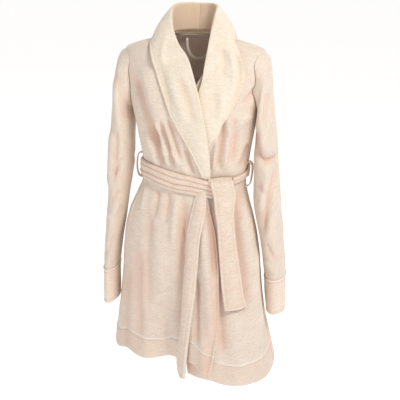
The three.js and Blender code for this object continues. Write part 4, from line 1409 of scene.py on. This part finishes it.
class ROBE_OT_belt(RobePiece, bpy.types.Operator):
    """The belt's runs round the waist, its knot, its tails and the two loops"""
    bl_idname = "robe.belt"
    bl_label = "Belt and loops"

    def execute(self, context):
        cloth = finish_named("belt_brushed_knit")
        thickness = context.scene.robe_sizes.belt
        for which, (start, end, grooves) in BELT_RUNS.items():
            outer, inner, fold = belt_surface(start, end, grooves)
            piece = shell(f"belt_{which}_cloth", outer, inner, cloth, fold=fold)
            placed(piece, "robe", "belt_knit", f"belt_{which}_run")
            length = round(abs(end - start) / BELT_TURN, 2)
            declare(cloth_area(outer), length)
        outer, inner, fold = knot_surface()
        piece = shell("belt_knot_cloth", outer, inner, cloth, fold=fold)
        placed(piece, "robe", "belt_knit", "belt_knot")
        for which, tail in TAILS.items():
            name, body, bend = f"belt_{which}_tail", f"{which}_tail", tail["bend"]
            outer, inner, fold = tail_surface(tail["rows"], thickness, **tail["shape"])
            piece = shell(f"{name}_cloth", outer, inner, cloth, fold=fold)
            bent(piece, body, "belt_knit", *bend, name)
            declare(cloth_area(outer), tail["length"])
            bent(tail_stitches(f"{name}_stitching", tail["rows"], tail["threads"]), body, "belt_knit", *bend)
        for which, side in SIDES.items():
            outer, inner = loop_surface(side)
            piece = shell(f"{which}_loop_cloth", outer, inner, cloth)
            placed(piece, "robe", "belt_knit", f"{which}_belt_loop")
            declare(cloth_area(outer), CUT["loop"])
        return {"FINISHED"}


class ROBE_OT_neck(RobePiece, bpy.types.Operator):
    """Neck tape, hanging loop and blank label"""
    bl_idname = "robe.neck"
    bl_label = "Tape, hanging loop and label"

    def execute(self, context):
        tape = finish_named("cotton_tape")
        makers = {"back_neck_tape": (tape_surface, "robe"), "hanger_loop": (hanger_surface, "hang_loop"),
                  "care_label": (label_surface, "robe")}
        for node, (surface, body) in makers.items():
            outer, inner = surface()
            piece = shell(f"{node}_cloth", outer, inner, tape)
            placed(piece, body, "tape", node)
            declare(cloth_area(outer), CUT[node])
        return {"FINISHED"}


FLOOR_HALF = 30000
FLOOR_GLOW = 0.58
SKY = {"Color": (1, 0.985, 0.97, 1), "Strength": 0.46}
LIGHT_TARGET = (0, 0, -0.45)
# Place in metres, diameter, power in watts, colour.
LIGHTS = {
    "key_light": ((1.5, -1.45, 1.9), 0.9, 47, (1, 0.975, 0.94)),
    "fill_light": ((-2.4, -2.0, 0.9), 2.0, 4, (1, 0.98, 0.96)),
    "rim_light": ((0.6, 2.4, 1.8), 1.6, 20, (1, 1, 1)),
}


class ROBE_OT_stage(RobePiece, bpy.types.Operator):
    """Camera, pale floor and soft lights"""
    bl_idname = "robe.stage"
    bl_label = "Stage"

    def execute(self, context):
        scene = context.scene
        s = scene.robe_stage
        lens = bpy.data.cameras.new("camera")
        lens.lens, lens.sensor_width = s.lens, 36
        camera = bpy.data.objects.new("camera", lens)
        sine, cosine = math.sin(s.turn), math.cos(s.turn)
        camera.location = (s.distance * sine + s.aside * cosine, -s.distance * cosine + s.aside * sine,
                           s.height)
        camera.rotation_euler = (math.pi / 2 - s.pitch, 0, s.turn)
        scene.collection.objects.link(camera)
        scene.camera = camera

        shader = Shader("pale_floor")
        place = shader.node("ShaderNodeTexCoord", output="Object")
        tone = shader.blend(shader.noise(place, 3, 2), (0.86, 0.86, 0.86, 1), (0.88, 0.88, 0.88, 1))
        pale = shader.finished({
            "Base Color": tone, "Roughness": 0.9, "Emission Color": (1, 1, 1, 1),
            "Emission Strength": FLOOR_GLOW,
        })
        signs = np.array([(-1, -1), (1, -1), (1, 1), (-1, 1)])
        corners = np.column_stack([signs * FLOOR_HALF, np.full(4, s.floor / MM)])
        make_object("floor", corners, np.array([[0, 1, 2, 3]]), materials=[pale])

        world = bpy.data.worlds.new("studio")
        scene.world = world
        world.use_nodes = True
        for socket, value in SKY.items():
            world.node_tree.nodes["Background"].inputs[socket].default_value = value
        for name, (where, size, power, colour) in LIGHTS.items():
            data = bpy.data.lights.new(name, "AREA")
            data.shape, data.size, data.energy, data.color = "DISK", size, power, colour
            lamp = bpy.data.objects.new(name, data)
            lamp.location = where
            aim = Vector(LIGHT_TARGET) - lamp.location
            lamp.rotation_euler = aim.to_track_quat("-Z", "Y").to_euler()
            scene.collection.objects.link(lamp)
        scene.view_settings.view_transform = "Standard"
        return {"FINISHED"}


class ROBE_PT_panel(bpy.types.Panel):
    """Lists the robe's pieces and settings in the sidebar"""
    bl_label = "Bathrobe"
    bl_idname = "ROBE_PT_panel"
    bl_space_type = "VIEW_3D"
    bl_region_type = "UI"
    bl_category = "Robe"

    def draw(self, context):
        layout = self.layout
        for group in (context.scene.robe_sizes, context.scene.robe_colours, context.scene.robe_stage):
            box = layout.box()
            for key in group.__annotations__:
                box.prop(group, key)
        for operator in OPERATORS:
            layout.operator(operator.bl_idname)


OPERATORS = (ROBE_OT_stage, ROBE_OT_panels, ROBE_OT_linings, ROBE_OT_sleeves, ROBE_OT_collar, ROBE_OT_belt,
             ROBE_OT_neck)
GROUPS = {"robe_sizes": RobeSizes, "robe_colours": RobeColours, "robe_stage": StageSettings}


def register():
    """Adds the classes and the scene's settings."""
    for group in (*GROUPS.values(), *OPERATORS, ROBE_PT_panel):
        bpy.utils.register_class(group)
    for name, group in GROUPS.items():
        setattr(bpy.types.Scene, name, bpy.props.PointerProperty(type=group))


def unregister():
    """Takes them away again."""
    for name in GROUPS:
        delattr(bpy.types.Scene, name)
    for group in (ROBE_PT_panel, *OPERATORS, *GROUPS.values()):
        bpy.utils.unregister_class(group)


def main():
    """Builds every piece."""
    register()
    bpy.ops.robe.stage()
    bpy.ops.robe.panels()
    bpy.ops.robe.linings()
    bpy.ops.robe.sleeves()
    bpy.ops.robe.collar()
    bpy.ops.robe.belt()
    bpy.ops.robe.neck()


if __name__ == "__main__":
    main()
